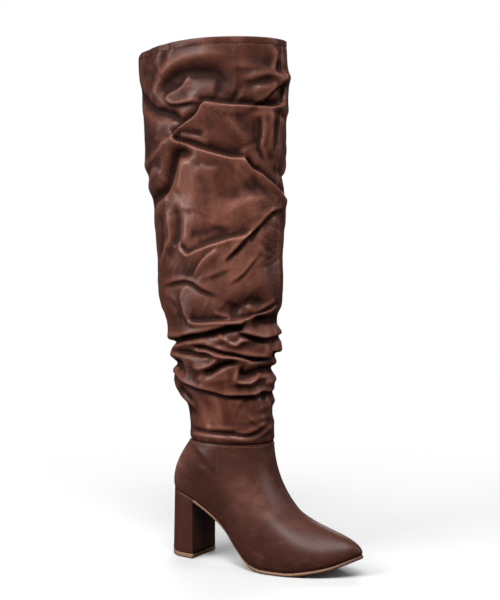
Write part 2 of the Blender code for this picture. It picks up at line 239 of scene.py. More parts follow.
def every(count: int, pace: int) -> Array:
    """Numbers of the rows that are kept: one in so many, and the last."""
    return np.unique(np.append(np.arange(0, count, pace), count - 1))


def sole_floor(x: Array) -> Array:
    """Height of the sole's underside at x, flat where it treads."""
    return np.maximum(smooth(column(SOLE_ROWS, "x"), column(SOLE_ROWS, "floor"), x), 0.0)


def sole_top(x: Array) -> Array:
    """Height of the sole's upper face: its thickness measured square to the slope."""
    slope = sole_floor(x + 0.5) - sole_floor(x - 0.5)
    return sole_floor(x) + SOLE_THICK * np.sqrt(1.0 + slope**2)


def round_the_last(name: str, station: Array, inner_name: str | None = None) -> Array:
    """A column of the last's table followed from the toe along the outer side to the heel and back.

    Args:
        name: Column on the outer side.
        station: Stations, 0 at the toe, 12 at the heel back, 24 at the toe again.
        inner_name: Column on the inner side, where it differs.

    Returns:
        The column's value at each station.
    """
    outer = column(LAST_ROWS, name)
    inner = column(LAST_ROWS, inner_name or name)
    loop = np.concatenate([outer, inner[-2:0:-1]])
    knots = np.arange(-STATION_OVERLAP, ROUND + STATION_OVERLAP + 1)
    return smooth(knots, loop[knots % ROUND], np.mod(station, ROUND))


def feather_plan(station: Array) -> Array:
    """Plan of the line where the upper meets the sole."""
    return np.stack([round_the_last("x", station), round_the_last("outer", station, "inner")], -1)


def feather_line(station: Array) -> tuple[Array, Array]:
    """Plan of the line where the upper meets the sole, and its direction outwards."""
    along = feather_plan(station + STATION_NUDGE) - feather_plan(station - STATION_NUDGE)
    return feather_plan(station), unit(np.stack([-along[..., 1], along[..., 0]], -1))


def collar_line(deg: Array) -> Array:
    """Height of the collar's edge, higher at the shin than at the calf and arched over both sides."""
    turn = np.radians(deg)
    return COLLAR_HEIGHT + COLLAR_RISE * np.cos(turn) + COLLAR_CROWN * np.sin(turn) ** 2


def ring_faces(rows: int, columns: int, first: int = 0) -> Array:
    """Four-sided faces between neighbouring closed rows of a grid of points.

    Args:
        rows: How many rows.
        columns: How many points in a row.
        first: Number of the grid's first point.

    Returns:
        One row of four point numbers to a face.
    """
    a = first + (np.arange(rows - 1) * columns)[:, None]
    i = np.arange(columns)[None, :]
    j = (i + 1) % columns
    return np.stack([a + i, a + j, a + columns + j, a + columns + i], -1).reshape(-1, 4)


# Creases

REACHES = 3.0
POINTS_TO_A_SPAN = 5
BOWL_ROUND = 0.7
LAP_ROUND = 1.5
HOLLOW_ROUND = 1.0
ROLL_PLACE = 1.4
ROLL_WIDE = 1.5
SLIP_SHARE = 0.4


class Fold(Enum):
    """How the leather lies along a crease, seen walking along its path."""

    RIDGE = "ridge"
    VALLEY = "valley"
    LEFT_OVER = "left side over"
    RIGHT_OVER = "right side over"


class Field(NamedTuple):
    """What creases do to a surface at its points, in millimetres."""

    relief: Array
    along: Array
    up: Array

    @classmethod
    def blank(cls, size: int) -> "Field":
        """A field with no crease on it yet."""
        return cls(np.zeros(size), np.zeros(size), np.zeros(size))


@dataclass(frozen=True)
class Crease:
    """One crease laid on the leather as a soft trough, a ridge, or one side lapping over the other.

    Its path is given in the surface's own two sizes, across it and up it, such as bearing and height. On the
    leg a path that runs to falling bearings has the upper side on its left.
    """

    name: str
    fold: Fold
    across: tuple[float, ...]
    up: tuple[float, ...]
    height: float
    reach: float
    back_reach: float
    hollow: float = 0.0
    slip: float = 0.0
    taper: float = 0.22
    crisp: float = 0.8
    roll: float = 1.0

    def points(self) -> Array:
        """The path drawn as a smooth curve, with a few points to each span.

        Returns:
            The curve's points.
        """
        knots = np.arange(len(self.up))
        at = np.linspace(0.0, knots[-1], POINTS_TO_A_SPAN * knots[-1] + 1)
        return np.stack([smooth(knots, self.across, at), smooth(knots, self.up, at)], -1)

    def offsets(self, a: Array, b: Array, per_a: Array,
                per_b: Array) -> tuple[Array, ...]:
        """Signed distance of points from the path: the least over its straight pieces, positive on the left.

        Args:
            a: First size of each point, such as its bearing.
            b: Second size of each point, such as its height.
            per_a: Millimetres to one unit of a at each point; negative where a falls to the right.
            per_b: Millimetres to one unit of b at each point.

        Returns:
            Distance, share of the path's length, and the path's left-hand direction (two arrays).
        """
        line = self.points()
        piece = np.diff(line, axis=0)
        px = (a[:, None] - line[None, :-1, 0]) * per_a[:, None]
        py = (b[:, None] - line[None, :-1, 1]) * per_b[:, None]
        sx = piece[None, :, 0] * per_a[:, None]
        sy = piece[None, :, 1] * per_b[:, None]
        t = np.clip((px * sx + py * sy) / np.maximum(sx * sx + sy * sy, TINY), 0.0, 1.0)
        gap = (px - t * sx) ** 2 + (py - t * sy) ** 2
        best = gap.argmin(axis=1)
        rows = np.arange(len(a))
        sx, sy, px, py = sx[rows, best], sy[rows, best], px[rows, best], py[rows, best]
        side = np.where(sx * py - sy * px >= 0.0, 1.0, -1.0)
        long = np.maximum(np.hypot(sx, sy), TINY)
        share = (best + t[rows, best]) / len(piece)
        return side * np.sqrt(gap[rows, best]), share, -sy / long, sx / long

    def fall(self, off: Array, reach: float, soft: float) -> Array:
        """From 1 at the crease to 0 at three reaches: a cube, so it hangs hollow, rounded at the crest."""
        away = np.sqrt(off**2 + soft**2) - soft
        return np.maximum(1.0 - away / (REACHES * reach), 0.0) ** 3

    def both_sides(self, off: Array, soft: float, back_soft: float) -> Array:
        """The fall on the left of the crease and on its right, each with its own reach."""
        left = self.fall(np.maximum(off, 0.0), self.reach, soft)
        return np.where(off >= 0.0, left, self.fall(np.maximum(-off, 0.0), self.back_reach, back_soft))

    def profile(self, off: Array) -> Array:
        """Height across the crease: a tent for a ridge and a bowl for a trough.

        A lap is half a tent that drops over a steep step into half a bowl, with a narrow roll along its edge.

        Args:
            off: Signed distance from the crease.

        Returns:
            The height at each distance.
        """
        if self.fold is Fold.RIDGE:
            return self.height * self.both_sides(off, self.crisp, self.crisp)
        if self.fold is Fold.VALLEY:
            return -self.height * self.both_sides(off, BOWL_ROUND * self.reach, BOWL_ROUND * self.back_reach)
        over = step(off, self.crisp)
        high = self.height * over * self.fall(np.maximum(off, 0.0), self.reach, LAP_ROUND)
        high = high + self.roll * bell(off - ROLL_PLACE, ROLL_WIDE)
        low = self.hollow * (1.0 - over) * self.fall(np.maximum(-off, 0.0), self.back_reach, HOLLOW_ROUND)
        return high - low

    def add_to(self, field: Field, a: Array, b: Array, per_a: Array, per_b: Array) -> None:
        """Adds the crease to a field, fading to nothing at both ends of its path.

        Args:
            field: Relief and sideways slip so far; changed in place.
            a: First size of each point.
            b: Second size of each point.
            per_a: Millimetres to one unit of a.
            per_b: Millimetres to one unit of b.
        """
        span = REACHES * max(self.reach, self.back_reach)
        near_a = np.abs((a - np.clip(a, min(self.across), max(self.across))) * per_a) < span
        near_b = np.abs((b - np.clip(b, min(self.up), max(self.up))) * per_b) < span
        pick = np.nonzero(near_a & near_b)[0]
        if not len(pick):
            return
        off, share, left_a, left_b = self.offsets(a[pick], b[pick], per_a[pick], per_b[pick])
        if self.fold is Fold.RIGHT_OVER:
            off, left_a, left_b = -off, -left_a, -left_b
        fade = ease(np.minimum(share, 1.0 - share) / self.taper)
        field.relief[pick] += fade * self.profile(off)
        if self.slip:
            push = np.tanh(off / self.crisp) * self.fall(off, SLIP_SHARE * self.reach, HOLLOW_ROUND)
            push = -self.slip * fade * push
            field.along[pick] += push * left_a
            field.up[pick] += push * left_b


R, V, L_OVER, R_OVER = Fold.RIDGE, Fold.VALLEY, Fold.LEFT_OVER, Fold.RIGHT_OVER

OUTER_CREASES = (
    # under the collar
    Crease("collar roll", R, (128, 122, 117, 110, 104, 95, 82, 64, 48),
           (515, 522, 530, 540, 549, 556, 560, 562, 558), 3.2, 8, 6, crisp=3),
    Crease("roll end", R, (110, 120, 126, 128, 122), (509, 510, 513, 518, 524), 2.4, 2.6, 2.6, crisp=1.4),
    Crease("collar hollow", V, (117, 112, 108, 103, 97, 88, 76, 66, 58, 52),
           (518, 526, 532, 537, 541, 543, 543, 540, 532, 523), 5.5, 6, 13),
    Crease("sheen trough", V, (164, 150, 140, 130, 120, 110, 102, 94),
           (540, 526, 519, 512, 506, 502, 497, 490), 5.5, 4.5, 4.5, taper=0.14),
    Crease("dark panel", V, (108, 101, 95, 89), (503, 497, 492, 489), 1.6, 4, 3),
    Crease("tongue", L_OVER, (88, 90, 93, 98, 104, 108, 108, 104, 97, 88, 77),
           (544, 537, 531, 527, 524, 520, 515, 511, 510, 511, 513), 3.4, 8, 3, 2.6, 0.9, 0.12, 0.7, 0.9),
    Crease("shelf", R_OVER, (84, 69, 60, 49, 38, 25, 14, 6, 0, -3, -5, -8),
           (515, 511, 509, 508, 507, 507, 507, 509, 513, 518, 525, 536), 3.4, 9, 6, 8, 2, 0.1, 0.7, 1.6),
    Crease("under shelf", V, (46, 36, 22, 10, 0, -10), (498, 502, 504, 502, 498, 493), 2.6, 2.4, 3),
    Crease("shelf hollow", V, (70, 58, 48), (526, 520, 513), 4, 8, 6),
    Crease("wedge", L_OVER, (36, 27, 20, 12, 4, -6), (509, 512, 519, 526, 531, 538), 2.4, 6, 5, 5, 1, 0.12,
           0.7, 0.8),
    Crease("wedge spar", R, (27, 16, 9, 2), (510, 518, 525, 532), 2.6, 2, 2),
    Crease("hem ridge", R, (48, 38, 30, 22, 12, 0, -16), (533, 537, 540, 542, 540, 540, 543), 3.2, 6, 5,
           crisp=1.6),
    Crease("hem ridge two", R, (40, 28, 20, 11), (522, 526, 528, 531), 2, 4, 4, crisp=1.4),
    Crease("hem ridge dip", V, (46, 30, 14), (528, 533, 535), 1.6, 4, 4),
    Crease("hem pinch", R, (11, 14, 18), (570, 556, 543), 2.6, 3, 3),
    Crease("hem pinch dip", V, (8, 9, 11), (558, 549, 543), 2.4, 3, 3),
    Crease("hem pinch far dip", V, (18, 21, 25), (566, 555, 546), 1.2, 4, 4, taper=0.4),
    Crease("collar sway", V, (124, 130, 138), (574, 560, 542), 1.4, 5, 5),
    Crease("calf gather", R, (134, 139, 146), (573, 560, 546), 1.2, 4, 4),
    Crease("collar gather", R, (112, 114, 119), (574, 562, 548), 1.1, 3, 3, taper=0.35),
    Crease("collar gather dip", V, (105, 108, 112), (572, 560, 550), 1, 2.6, 2.6, taper=0.35),
    Crease("collar gather two", R, (98, 100, 104), (575, 567, 558), 0.9, 2.6, 2.6, taper=0.35),
    Crease("hem slack", R, (60, 46, 34, 24), (553, 549, 549, 551), 1, 5, 4, taper=0.4, crisp=1.2),
    Crease("hem slack dip", V, (56, 44, 34), (546, 543, 544), 1, 4, 4, taper=0.4),
    # elbow
    Crease("elbow fall", L_OVER, (73, 78, 80, 84, 90, 96, 101, 104), (514, 508, 502, 496, 491, 486, 481, 477),
           3.6, 9, 5, 6, 1.8, 0.1, 0.7, 1.4),
    Crease("elbow", R_OVER, (104, 102, 98, 90, 80, 71, 63, 54, 41),
           (479, 473, 470, 467, 462, 458, 455, 452, 452), 3.6, 9, 9, 8, 1.8, 0.08, 0.7, 1.4),
    Crease("elbow wedge", V, (101, 90, 74), (480, 480, 477), 1.8, 2.4, 2.4),
    Crease("elbow inner ridge", R, (99, 90, 80, 70), (477, 475, 471, 465), 2, 2.4, 2.4),
    Crease("elbow hook", R, (55, 47, 40), (455, 457, 459), 1.8, 2, 2),
    Crease("shin swing", R_OVER, (44, 40, 36, 29, 21, 11, 0, -12, -24),
           (454, 446, 440, 436, 429, 422, 415, 410, 407), 4.2, 10, 6, 5, 1.6, 0.12, 0.7, 1.3),
    Crease("shin slit", V, (40, 34, 27), (449, 440, 435), 2.6, 2.4, 2.4),
    Crease("pleat edge", L_OVER, (30, 27, 27, 28, 25, 20), (500, 486, 473, 463, 455, 443), 2, 4, 4, 3.6, 0.8,
           0.2, 0.6, 0.9),
    Crease("pleat dip", V, (36, 34, 35), (500, 478, 456), 2.2, 3, 4, taper=0.4),
    Crease("pleat face", R, (17, 18, 18, 18), (503, 485, 470, 450), 3, 3.4, 3.4, crisp=2),
    Crease("pleat far dip", V, (8, 8, 11), (506, 480, 452), 2.2, 3, 3, taper=0.4),
    Crease("shin notch", V, (18, 6, -8, -34), (443, 439, 437, 434), 2, 6, 6, taper=0.4),
    Crease("calf thread", R, (103, 112, 119, 134, 152, 168), (479, 468, 459, 451, 444, 440), 3.4, 5, 7),
    Crease("calf trough", V, (80, 92, 99, 103, 107, 112, 118, 126, 145, 168),
           (456, 458, 457, 452, 443, 432, 420, 413, 405, 396), 9.5, 5, 5, taper=0.16),
    Crease("trough edge", R, (91, 95, 98, 101), (454, 441, 428, 412), 2.4, 7, 4),
    Crease("notch lip", R, (158, 140, 127, 121, 117, 114), (402, 404, 407, 405, 409, 420), 3.8, 3, 4),
    Crease("calf pocket lip", R, (124, 134, 146, 166), (446, 434, 424, 414), 3.6, 5, 5),
    Crease("calf panel fold", R, (117, 119, 122), (497, 484, 468), 1.4, 6, 6, crisp=2.5),
    Crease("panel dent", V, (92, 78, 60), (447, 445, 446), 1.6, 5, 4, taper=0.45),
    Crease("panel dent edge", R, (81, 75, 70, 62), (447, 441, 439, 440), 1, 4, 5),
    Crease("panel sag", V, (56, 46, 37), (503, 488, 470), 1.5, 5, 5, taper=0.4),
    Crease("panel dart", R, (64, 54, 45, 40), (502, 488, 474, 464), 1.5, 6, 5, taper=0.4, crisp=2),
    # balloon
    Crease("balloon side", R, (119, 114, 113, 114, 120, 127, 138), (404, 384, 371, 362, 353, 344, 330), 3.8,
           4, 6),
    Crease("balloon side dip", V, (107, 105, 106, 110), (404, 386, 368, 352), 2.4, 5, 5),
    Crease("balloon calf dip", V, (134, 129, 133, 142), (396, 376, 356, 338), 3, 6, 6),
    Crease("balloon cup", R_OVER, (105, 103, 101, 96, 90, 82, 74, 66, 58, 50, 44, 38, 28),
           (366, 356, 351, 347, 350, 354, 358, 361, 364, 366, 368, 372, 382), 2, 7, 10, 3.4, 0.8, 0.16, 0.7,
           1.4),
    Crease("cup hollow", V, (98, 86, 72, 56), (366, 369, 373, 377), 2.6, 8, 8),
    Crease("balloon crease", L_OVER, (63, 61, 54, 48, 41, 34, 28, 22, 14, 0, -14),
           (336, 341, 350, 358, 367, 374, 381, 388, 393, 396, 397), 2.8, 7, 4, 3.2, 1.4, 0.26, 0.7, 1.2),
    Crease("balloon swell", R, (74, 62, 51, 39, 24, 8), (382, 390, 399, 405, 405, 403), 2.4, 9, 7, taper=0.35,
           crisp=2.2),
    Crease("balloon swell dip", V, (68, 57, 45, 30, 16), (398, 409, 418, 420, 416), 2.2, 8, 9, taper=0.4),
    Crease("balloon left swell", R, (85, 85, 87, 91), (448, 428, 408, 384), 1.6, 8, 12, taper=0.4, crisp=2.5),
    Crease("crease twin", V, (38, 35, 31), (359, 367, 377), 1.8, 2, 2),
    Crease("crease roll", R, (31, 29, 24), (344, 360, 378), 1.4, 5, 5, crisp=2.5),
    Crease("slant one", R_OVER, (93, 88, 81, 73, 66), (320, 331, 342, 350, 354), 1.4, 5, 4, 1.8, 0.5, 0.3,
           0.5, 0.6),
    Crease("slant one roll", R, (84, 72, 62), (331, 345, 355), 1.2, 2.4, 3, taper=0.4),
    Crease("slant four", L_OVER, (62, 54, 46, 40, 34, 26), (313, 318, 325, 333, 341, 349), 1.4, 5, 3, 1.2,
           0.4, 0.3, 0.6, 0.6),
    Crease("slant five", L_OVER, (88, 78, 70, 60, 52), (317, 321, 325, 330, 331), 0.9, 4, 3, 0.9, 0.3, 0.35,
           0.6, 0.4),
    # knee pocket
    Crease("knee trough", L_OVER, (150, 121, 109, 99, 91, 84, 76, 62),
           (306, 313, 316, 317, 314, 309, 305, 301), 0.6, 8, 5, 4.4, 0.8, 0.25, 0.8, 0.2),
    Crease("knee brow", V, (140, 118, 100, 90, 80), (318, 323, 325, 321, 314), 1.8, 6, 5, taper=0.4),
    Crease("pocket side", R, (97, 103, 105, 103, 101, 97, 90), (318, 304, 295, 285, 278, 273, 272), 2.4, 7,
           4),
    Crease("pocket rim", R_OVER, (101, 96, 88, 71, 62, 50, 40, 31, 21, 9, -4),
           (276, 273, 272, 274, 275, 276, 278, 281, 283, 287, 293), 2.8, 4, 8, 4.4, 1, 0.14, 0.7, 1.4),
    Crease("pocket second rim", R, (74, 64, 54), (284, 280, 276), 2.2, 2.4, 2.4),
    Crease("pocket dark", V, (60, 53, 46, 39, 30, 16), (277, 286, 292, 295, 295, 292), 5.5, 8, 4),
    Crease("pocket spar", R, (40, 27, 16, 2), (281, 285, 292, 298), 2.6, 3, 3),
    Crease("balloon lip", L_OVER, (196, 172, 150, 128, 114, 99, 88, 77, 68, 60, 50, 42),
           (243, 246, 248, 252, 255, 259, 261, 264, 267, 270, 271, 272), 4.6, 7, 6, 12, 3.4, 0.07, 0.7, 1.2),
    Crease("shin gap", V, (40, 24, 8, -12, -44), (274, 275, 275, 275, 272), 9, 5, 5),
    Crease("shin spike", L_OVER, (52, 30, 20, 8, -14, -34), (263, 257, 255, 256, 256, 257), 6.4, 6, 4, 8, 2,
           0.14, 0.7, 1),
    Crease("shin cheek", R, (22, 8, -12, -38), (241, 240, 239, 238), 2.6, 6, 6, crisp=1.6),
    Crease("shin collar knuckle", R, (14, 3, -10, -28, -46), (532, 536, 540, 541, 541), 3.6, 5, 7),
    # slouch
    Crease("short rib", R, (72, 68, 65, 60, 52, 46, 39, 28), (268, 259, 254, 251, 248, 252, 254, 258), 3.6,
           2.6, 2.6),
    Crease("calf rib", R, (172, 150, 122, 108, 97, 88, 75), (232, 238, 244, 248, 250, 252, 255), 4.6, 3, 4),
    Crease("long slit", L_OVER, (99, 86, 75, 65, 54, 42, 30, 18, -4),
           (246, 247, 244, 241, 239, 236, 234, 233, 231), 2.6, 4, 3, 8, 2, 0.1, 0.6, 0.8),
    Crease("slit roll", R, (105, 92, 82, 73, 61, 49, 40, 28), (240, 240, 239, 236, 234, 233, 231, 228), 4,
           2.2, 3),
    Crease("calf slit", V, (170, 137, 122, 108, 94, 81, 70), (234, 238, 238, 238, 236, 236, 232), 4.4, 2.2,
           2.2),
    Crease("bow rib", R, (104, 94, 83, 76, 70), (224, 221, 223, 227, 234), 3.4, 3, 3),
    Crease("bow slit", V, (90, 78, 69, 58, 46), (214, 219, 224, 228, 229), 5, 2.4, 2.4),
    Crease("low swell", R, (100, 84, 68, 56), (210, 208, 210, 214), 2.2, 5, 6, crisp=2),
    Crease("post", R, (48, 50, 51, 50, 44, 34, 27, 19, 11), (230, 218, 210, 207, 206, 206, 210, 216, 222),
           4.2, 2.6, 2.6),
    Crease("post hole", V, (44, 42, 30, 13, -10, -32), (227, 216, 217, 220, 219, 218), 8, 3.4, 3.4),
    Crease("calf notch", V, (184, 150, 132, 114), (219, 222, 224, 225), 8, 3.2, 3.2),
    Crease("calf block", V, (136, 122, 112), (219, 218, 220), 4, 4, 4),
    Crease("calf puff", R, (172, 150, 134, 116), (228, 231, 232, 232), 3, 2.6, 2.6),
    Crease("shin knuckle", R, (12, 4, -8, -26), (207, 205, 206, 207), 3.2, 3, 3),
    Crease("tuck", L_OVER, (190, 160, 140, 127, 113, 98, 85, 75, 63, 51, 38, 28, 18, 0, -30, -44),
           (219, 216, 211, 207, 203, 199, 197, 195, 192, 192, 192, 193, 196, 194, 194, 194), 3, 7, 5, 2.4,
           1.4, 0.05, 0.6, 0.7),
    Crease("tuck pucker", V, (18, 12, 5), (190, 189, 188), 2.4, 2, 2),
    Crease("tuck loop", R, (34, 24, 12), (191, 195, 195), 2, 2.2, 2.2),
    # ankle
    Crease("calf sag", V, (130, 122, 116), (199, 190, 182), 3.2, 4, 4),
    Crease("calf sag low", V, (156, 134, 116), (168, 171, 175), 2.2, 4, 4),
    Crease("calf sag roll", R, (150, 138, 124, 112), (186, 184, 180, 176), 2, 4, 4),
    Crease("shin ripple", R, (48, 26, 4, -16), (164, 167, 167, 169), 1, 2.4, 2.4),
    Crease("shin ripple low", R, (44, 22, 2), (157, 158, 160), 0.9, 2.2, 2.2),
    Crease("shin ripple high", R, (32, 16, -4, -20), (176, 178, 181, 182), 0.9, 2.6, 2.6),
    Crease("ankle ripple", R, (106, 82, 56), (152, 155, 156), 1.2, 3, 3),
    Crease("ankle ripple right", R, (60, 46, 32, 16, 2), (152, 151, 154, 160, 163), 1.4, 2, 2),
    Crease("ankle crease", V, (172, 124, 98, 78, 61, 44, 28, 12), (147, 150, 150, 150, 149, 147, 149, 154),
           2.6, 1.8, 1.6),
    Crease("ankle roll", R, (176, 124, 97, 71, 52, 36, 20, 4, -16),
           (145, 146, 146, 145, 144, 145, 149, 154, 156), 1.7, 1.8, 1.8, taper=0.14, crisp=1.4),
)

INNER_CREASES = (
    Crease("gather one", R, (282, 277, 273), (560, 570, 577), 1.2, 3, 3),
    Crease("gather two", R, (300, 294, 290), (556, 566, 576), 1.2, 3, 3),
    Crease("gather three", V, (312, 316, 318), (556, 566, 574), 1.4, 3.5, 3.5),
    Crease("gather four", R, (326, 331, 334), (552, 564, 574), 1.4, 4, 4),
    Crease("inner long roll", R, (338, 318, 296, 268, 246), (534, 540, 548, 548, 540), 2.2, 8, 7),
    Crease("inner oblique", L_OVER, (352, 334, 319, 309, 299, 292), (490, 500, 507, 518, 529, 542), 3.6, 9, 8,
           3.6, 0.8),
    Crease("inner oblique low", V, (346, 334, 321, 308), (488, 493, 503, 515), 2.6, 5, 5),
    Crease("inner hook", L_OVER, (316, 320, 309, 298, 297, 304), (448, 454, 460, 467, 478, 490), 3.2, 8, 6,
           3),
    Crease("inner swell", R, (338, 326, 312), (454, 468, 482), 3, 8, 8),
    Crease("inner swell two", R, (270, 262, 252, 240), (520, 500, 480, 462), 2.6, 9, 9),
    Crease("inner swell dip", V, (284, 276, 266, 254), (512, 494, 476, 462), 2.6, 9, 9),
    Crease("inner fold", L_OVER, (354, 340, 321, 299, 276, 252, 228, 206),
           (431, 435, 445, 449, 449, 452, 448, 438), 4.2, 10, 7, 6, 2.4, 0.08),
    Crease("inner strut", R, (333, 328, 320, 316, 302), (370, 383, 406, 418, 442), 2.8, 6, 6),
    Crease("inner strut two", R, (334, 318, 306, 295), (349, 368, 386, 408), 2.4, 6, 6),
    Crease("inner strut dip", V, (326, 313, 306), (362, 392, 418), 2.2, 6, 6),
    Crease("inner edge", R, (253, 258, 265, 262), (354, 378, 402, 416), 3, 6, 6),
    Crease("inner edge dip", V, (244, 248, 254), (352, 378, 402), 3, 8, 8),
    Crease("calf strut", R, (228, 222, 230, 224), (420, 392, 362, 338), 2.4, 8, 8),
    Crease("calf strut dip", V, (212, 208, 214), (426, 396, 364), 2.2, 9, 9),
    Crease("inner post", R, (262, 253, 255, 252), (287, 310, 336, 352), 2.6, 6, 6),
    Crease("inner dent", V, (318, 306, 300), (330, 318, 302), 2.4, 6, 6),
    Crease("inner cup", R_OVER, (308, 299, 293, 287, 281), (286, 272, 262, 270, 280), 2.8, 6, 6, 2.8),
    Crease("inner cup rim", R, (268, 273, 278), (296, 280, 264), 2.6, 5, 5),
    Crease("inner lip", L_OVER, (366, 342, 317, 294, 270, 244, 214, 190),
           (240, 237, 238, 245, 253, 257, 256, 248), 4.6, 9, 6, 8.5, 3.6, 0.06),
    Crease("inner lip roll", R, (360, 344, 326), (252, 248, 250), 3, 5, 5),
    Crease("inner tongue", L_OVER, (352, 344, 318, 294, 268, 236, 222), (219, 222, 219, 208, 200, 190, 184),
           3.4, 7, 5, 6, 2.2, 0.1),
    Crease("inner tongue roll", R, (350, 326, 310), (210, 207, 200), 2.8, 4, 4),
    Crease("inner slant", R, (286, 266, 246), (236, 222, 204), 2.4, 6, 6),
    Crease("inner slant dip", V, (270, 252, 232), (240, 226, 210), 2.6, 6, 6),
    Crease("calf fold", L_OVER, (240, 216, 190, 166), (232, 236, 232, 230), 2.6, 5, 4, 4, 1.4),
    Crease("inner tuck", L_OVER, (356, 330, 286, 250, 226, 200), (186, 178, 176, 174, 172, 178), 2.8, 7, 5, 3,
           1.8, 0.1),
    Crease("inner ripple", V, (342, 320, 300, 278, 250, 212), (168, 164, 166, 152, 154, 158), 2.2, 4, 4),
    Crease("inner ripple roll", R, (336, 306, 280, 256), (160, 157, 160, 163), 1.8, 4, 4),
    Crease("inner ankle fold", V, (348, 310, 272, 236, 204), (150, 148, 146, 147, 147), 1.8, 3, 4),
    Crease("shin knot", V, (348, 338, 328), (172, 166, 172), 2.2, 3.5, 3.5),
)

FOOT_CREASES = (
    Crease("counter fold", R, (9.6, 9.15, 8.75, 8.45, 8.3), (0.98, 0.92, 0.84, 0.75, 0.67), 1.1, 2.4, 3),
    Crease("counter fold low", R, (8.8, 8.6, 8.45), (0.68, 0.6, 0.5), 0.6, 3, 3),
    Crease("counter hollow", V, (9.5, 9, 8.7), (0.9, 0.78, 0.66), 0.6, 5, 4),
    Crease("inner counter fold", R, (14.4, 14.85, 15.25, 15.55, 15.7), (0.98, 0.92, 0.84, 0.75, 0.6), 1.1, 3,
           2.4),
    Crease("inner counter hollow", V, (14.5, 15, 15.3), (0.9, 0.78, 0.66), 0.6, 4, 5),
)


@dataclass(frozen=True)
class Crumple:
    """Small slack creases between the large ones: seeded short ridges, each with a hollow along one side."""

    count: int = 330
    seed: int = 23
    levels: Pair = (150.0, 562.0)
    slouch_head: float = 285.0
    slouch_slope: float = 0.35
    slope: float = 1.3
    long: Pair = (12.0, 30.0)
    wide: Pair = (1.2, 3.0)
    tall: Pair = (0.15, 0.55)
    bend: float = 0.01
    hollow_place: float = 2.2
    hollow_wide: float = 1.6

    def relief(self, bearing: Array, height: Array, per_deg: Array) -> Array:
        """Sum of the short creases: across each one a pointed ridge less a bell, along it a bell.

        Args:
            bearing: Bearing of each point.
            height: Height of each point.
            per_deg: Millimetres to one degree at each point.

        Returns:
            Their height.
        """
        draw = np.random.default_rng(self.seed)
        total = np.zeros_like(height)
        for _ in range(self.count):
            deg, level = draw.uniform(0.0, 360.0), draw.uniform(*self.levels)
            slouched = level < self.slouch_head
            slope = draw.normal(0.0, self.slouch_slope) if slouched else draw.uniform(-self.slope, self.slope)
            long, wide = draw.uniform(*self.long), draw.uniform(*self.wide)
            tall, bend = draw.uniform(*self.tall), draw.normal(0.0, self.bend)
            right = -wrapped(bearing - deg) * per_deg
            rise = height - level
            along = right * math.cos(slope) + rise * math.sin(slope)
            off = rise * math.cos(slope) - right * math.sin(slope) - bend * along**2
            hollow = bell(off + self.hollow_place * wide, self.hollow_wide * wide)
            total += tall * bell(along, long) * (np.exp(-np.abs(off) / wide) - hollow)
        return total


class RubAndLight(NamedTuple):
    """A patch painted lighter, or darker where its depth is below 0: in some places wear and dye, in others
    painted highlight and painted shade.

    Its place is in the surface's own two sizes, and its spread in millimetres.
    """

    name: str
    across: float
    height: float
    wide: float
    tall: float
    lean: float
    depth: float


RUBS_AND_LIGHTS = (
    # painted highlight where the balloon faces the lights, partly rubbed dye
    RubAndLight("balloon", 70, 385, 62, 80, 0, 0.65),
    RubAndLight("balloon middle smoke", 57, 424, 15, 17, 0.2, -0.75),
    RubAndLight("balloon shin smoke", 32, 424, 15, 8, 0.5, -0.6),
    # this row and the next: painted highlight along the lit diagonal swell
    RubAndLight("balloon swell", 42, 399, 26, 8, 0.6, 0.5),
    RubAndLight("balloon warm", 64, 385, 14, 7, 0.4, 0.5),
    # painted shade in the hollow under the cup
    RubAndLight("cup painted shade", 74, 371, 26, 6, 0.5, -0.7),
    RubAndLight("balloon low", 48, 320, 36, 34, 0.3, 0.30),
    RubAndLight("balloon streak", 66, 432, 4, 18, -0.1, -0.45),
    RubAndLight("balloon streak three", 78, 405, 5, 22, 0.15, -0.30),
    RubAndLight("calf smoke", 110, 338, 12, 26, 0, -0.45),
    RubAndLight("knee smoke", 92, 322, 16, 8, 0, -0.40),
    # painted shade inside the pocket
    RubAndLight("pocket painted shade", 46, 288, 26, 12, 0.5, -0.6),
    # painted highlight: the sheen band on the balloon's left
    RubAndLight("cup sheen", 96, 405, 9, 36, 0.1, 0.5),
    RubAndLight("collar", 70, 540, 90, 34, 0, -0.45),
    # painted highlight on the tongue's lit belly
    RubAndLight("collar belly", 84, 528, 10, 10, 0, 0.55),
    RubAndLight("upper panel", 60, 478, 34, 22, 0, -0.2),
    # painted shade in the hollow under the collar roll
    RubAndLight("collar painted shade", 58, 529, 22, 12, 0, -0.8),
    RubAndLight("calf panel smoke", 122, 482, 22, 26, 0, -0.7),
    RubAndLight("ankle", 80, 168, 46, 16, 0, 0.35),
    RubAndLight("ankle red stripe", 100, 168, 6, 24, 0, 0.5),
    RubAndLight("ankle middle stripe", 80, 166, 5, 24, 0, 0.8),
    RubAndLight("ankle dark stripe", 68, 168, 5, 24, 0, -0.8),
    RubAndLight("ankle calf smoke", 118, 172, 7, 18, 0, -0.5),
    RubAndLight("inner balloon", 285, 380, 60, 80, 0, 0.35),
)
FOOT_RUBS_AND_LIGHTS = (
    # this row and the next: painted light on the counters
    RubAndLight("counter", 10.6, 0.5, 36, 34, 0, 0.85),
    RubAndLight("inner counter", 13.4, 0.5, 36, 34, 0, 0.6),
    # painted highlight on the vamp
    RubAndLight("vamp", 4, 0.64, 60, 16, 0, 0.5),
    RubAndLight("quarter", 7, 0.5, 50, 26, 0, 0.18),
    # this row and the next: painted shade over the toe
    RubAndLight("toe", 0, 0.4, 55, 60, 0, -0.25),
    RubAndLight("toe side", 3, 0.28, 55, 20, 0, -0.3),
)


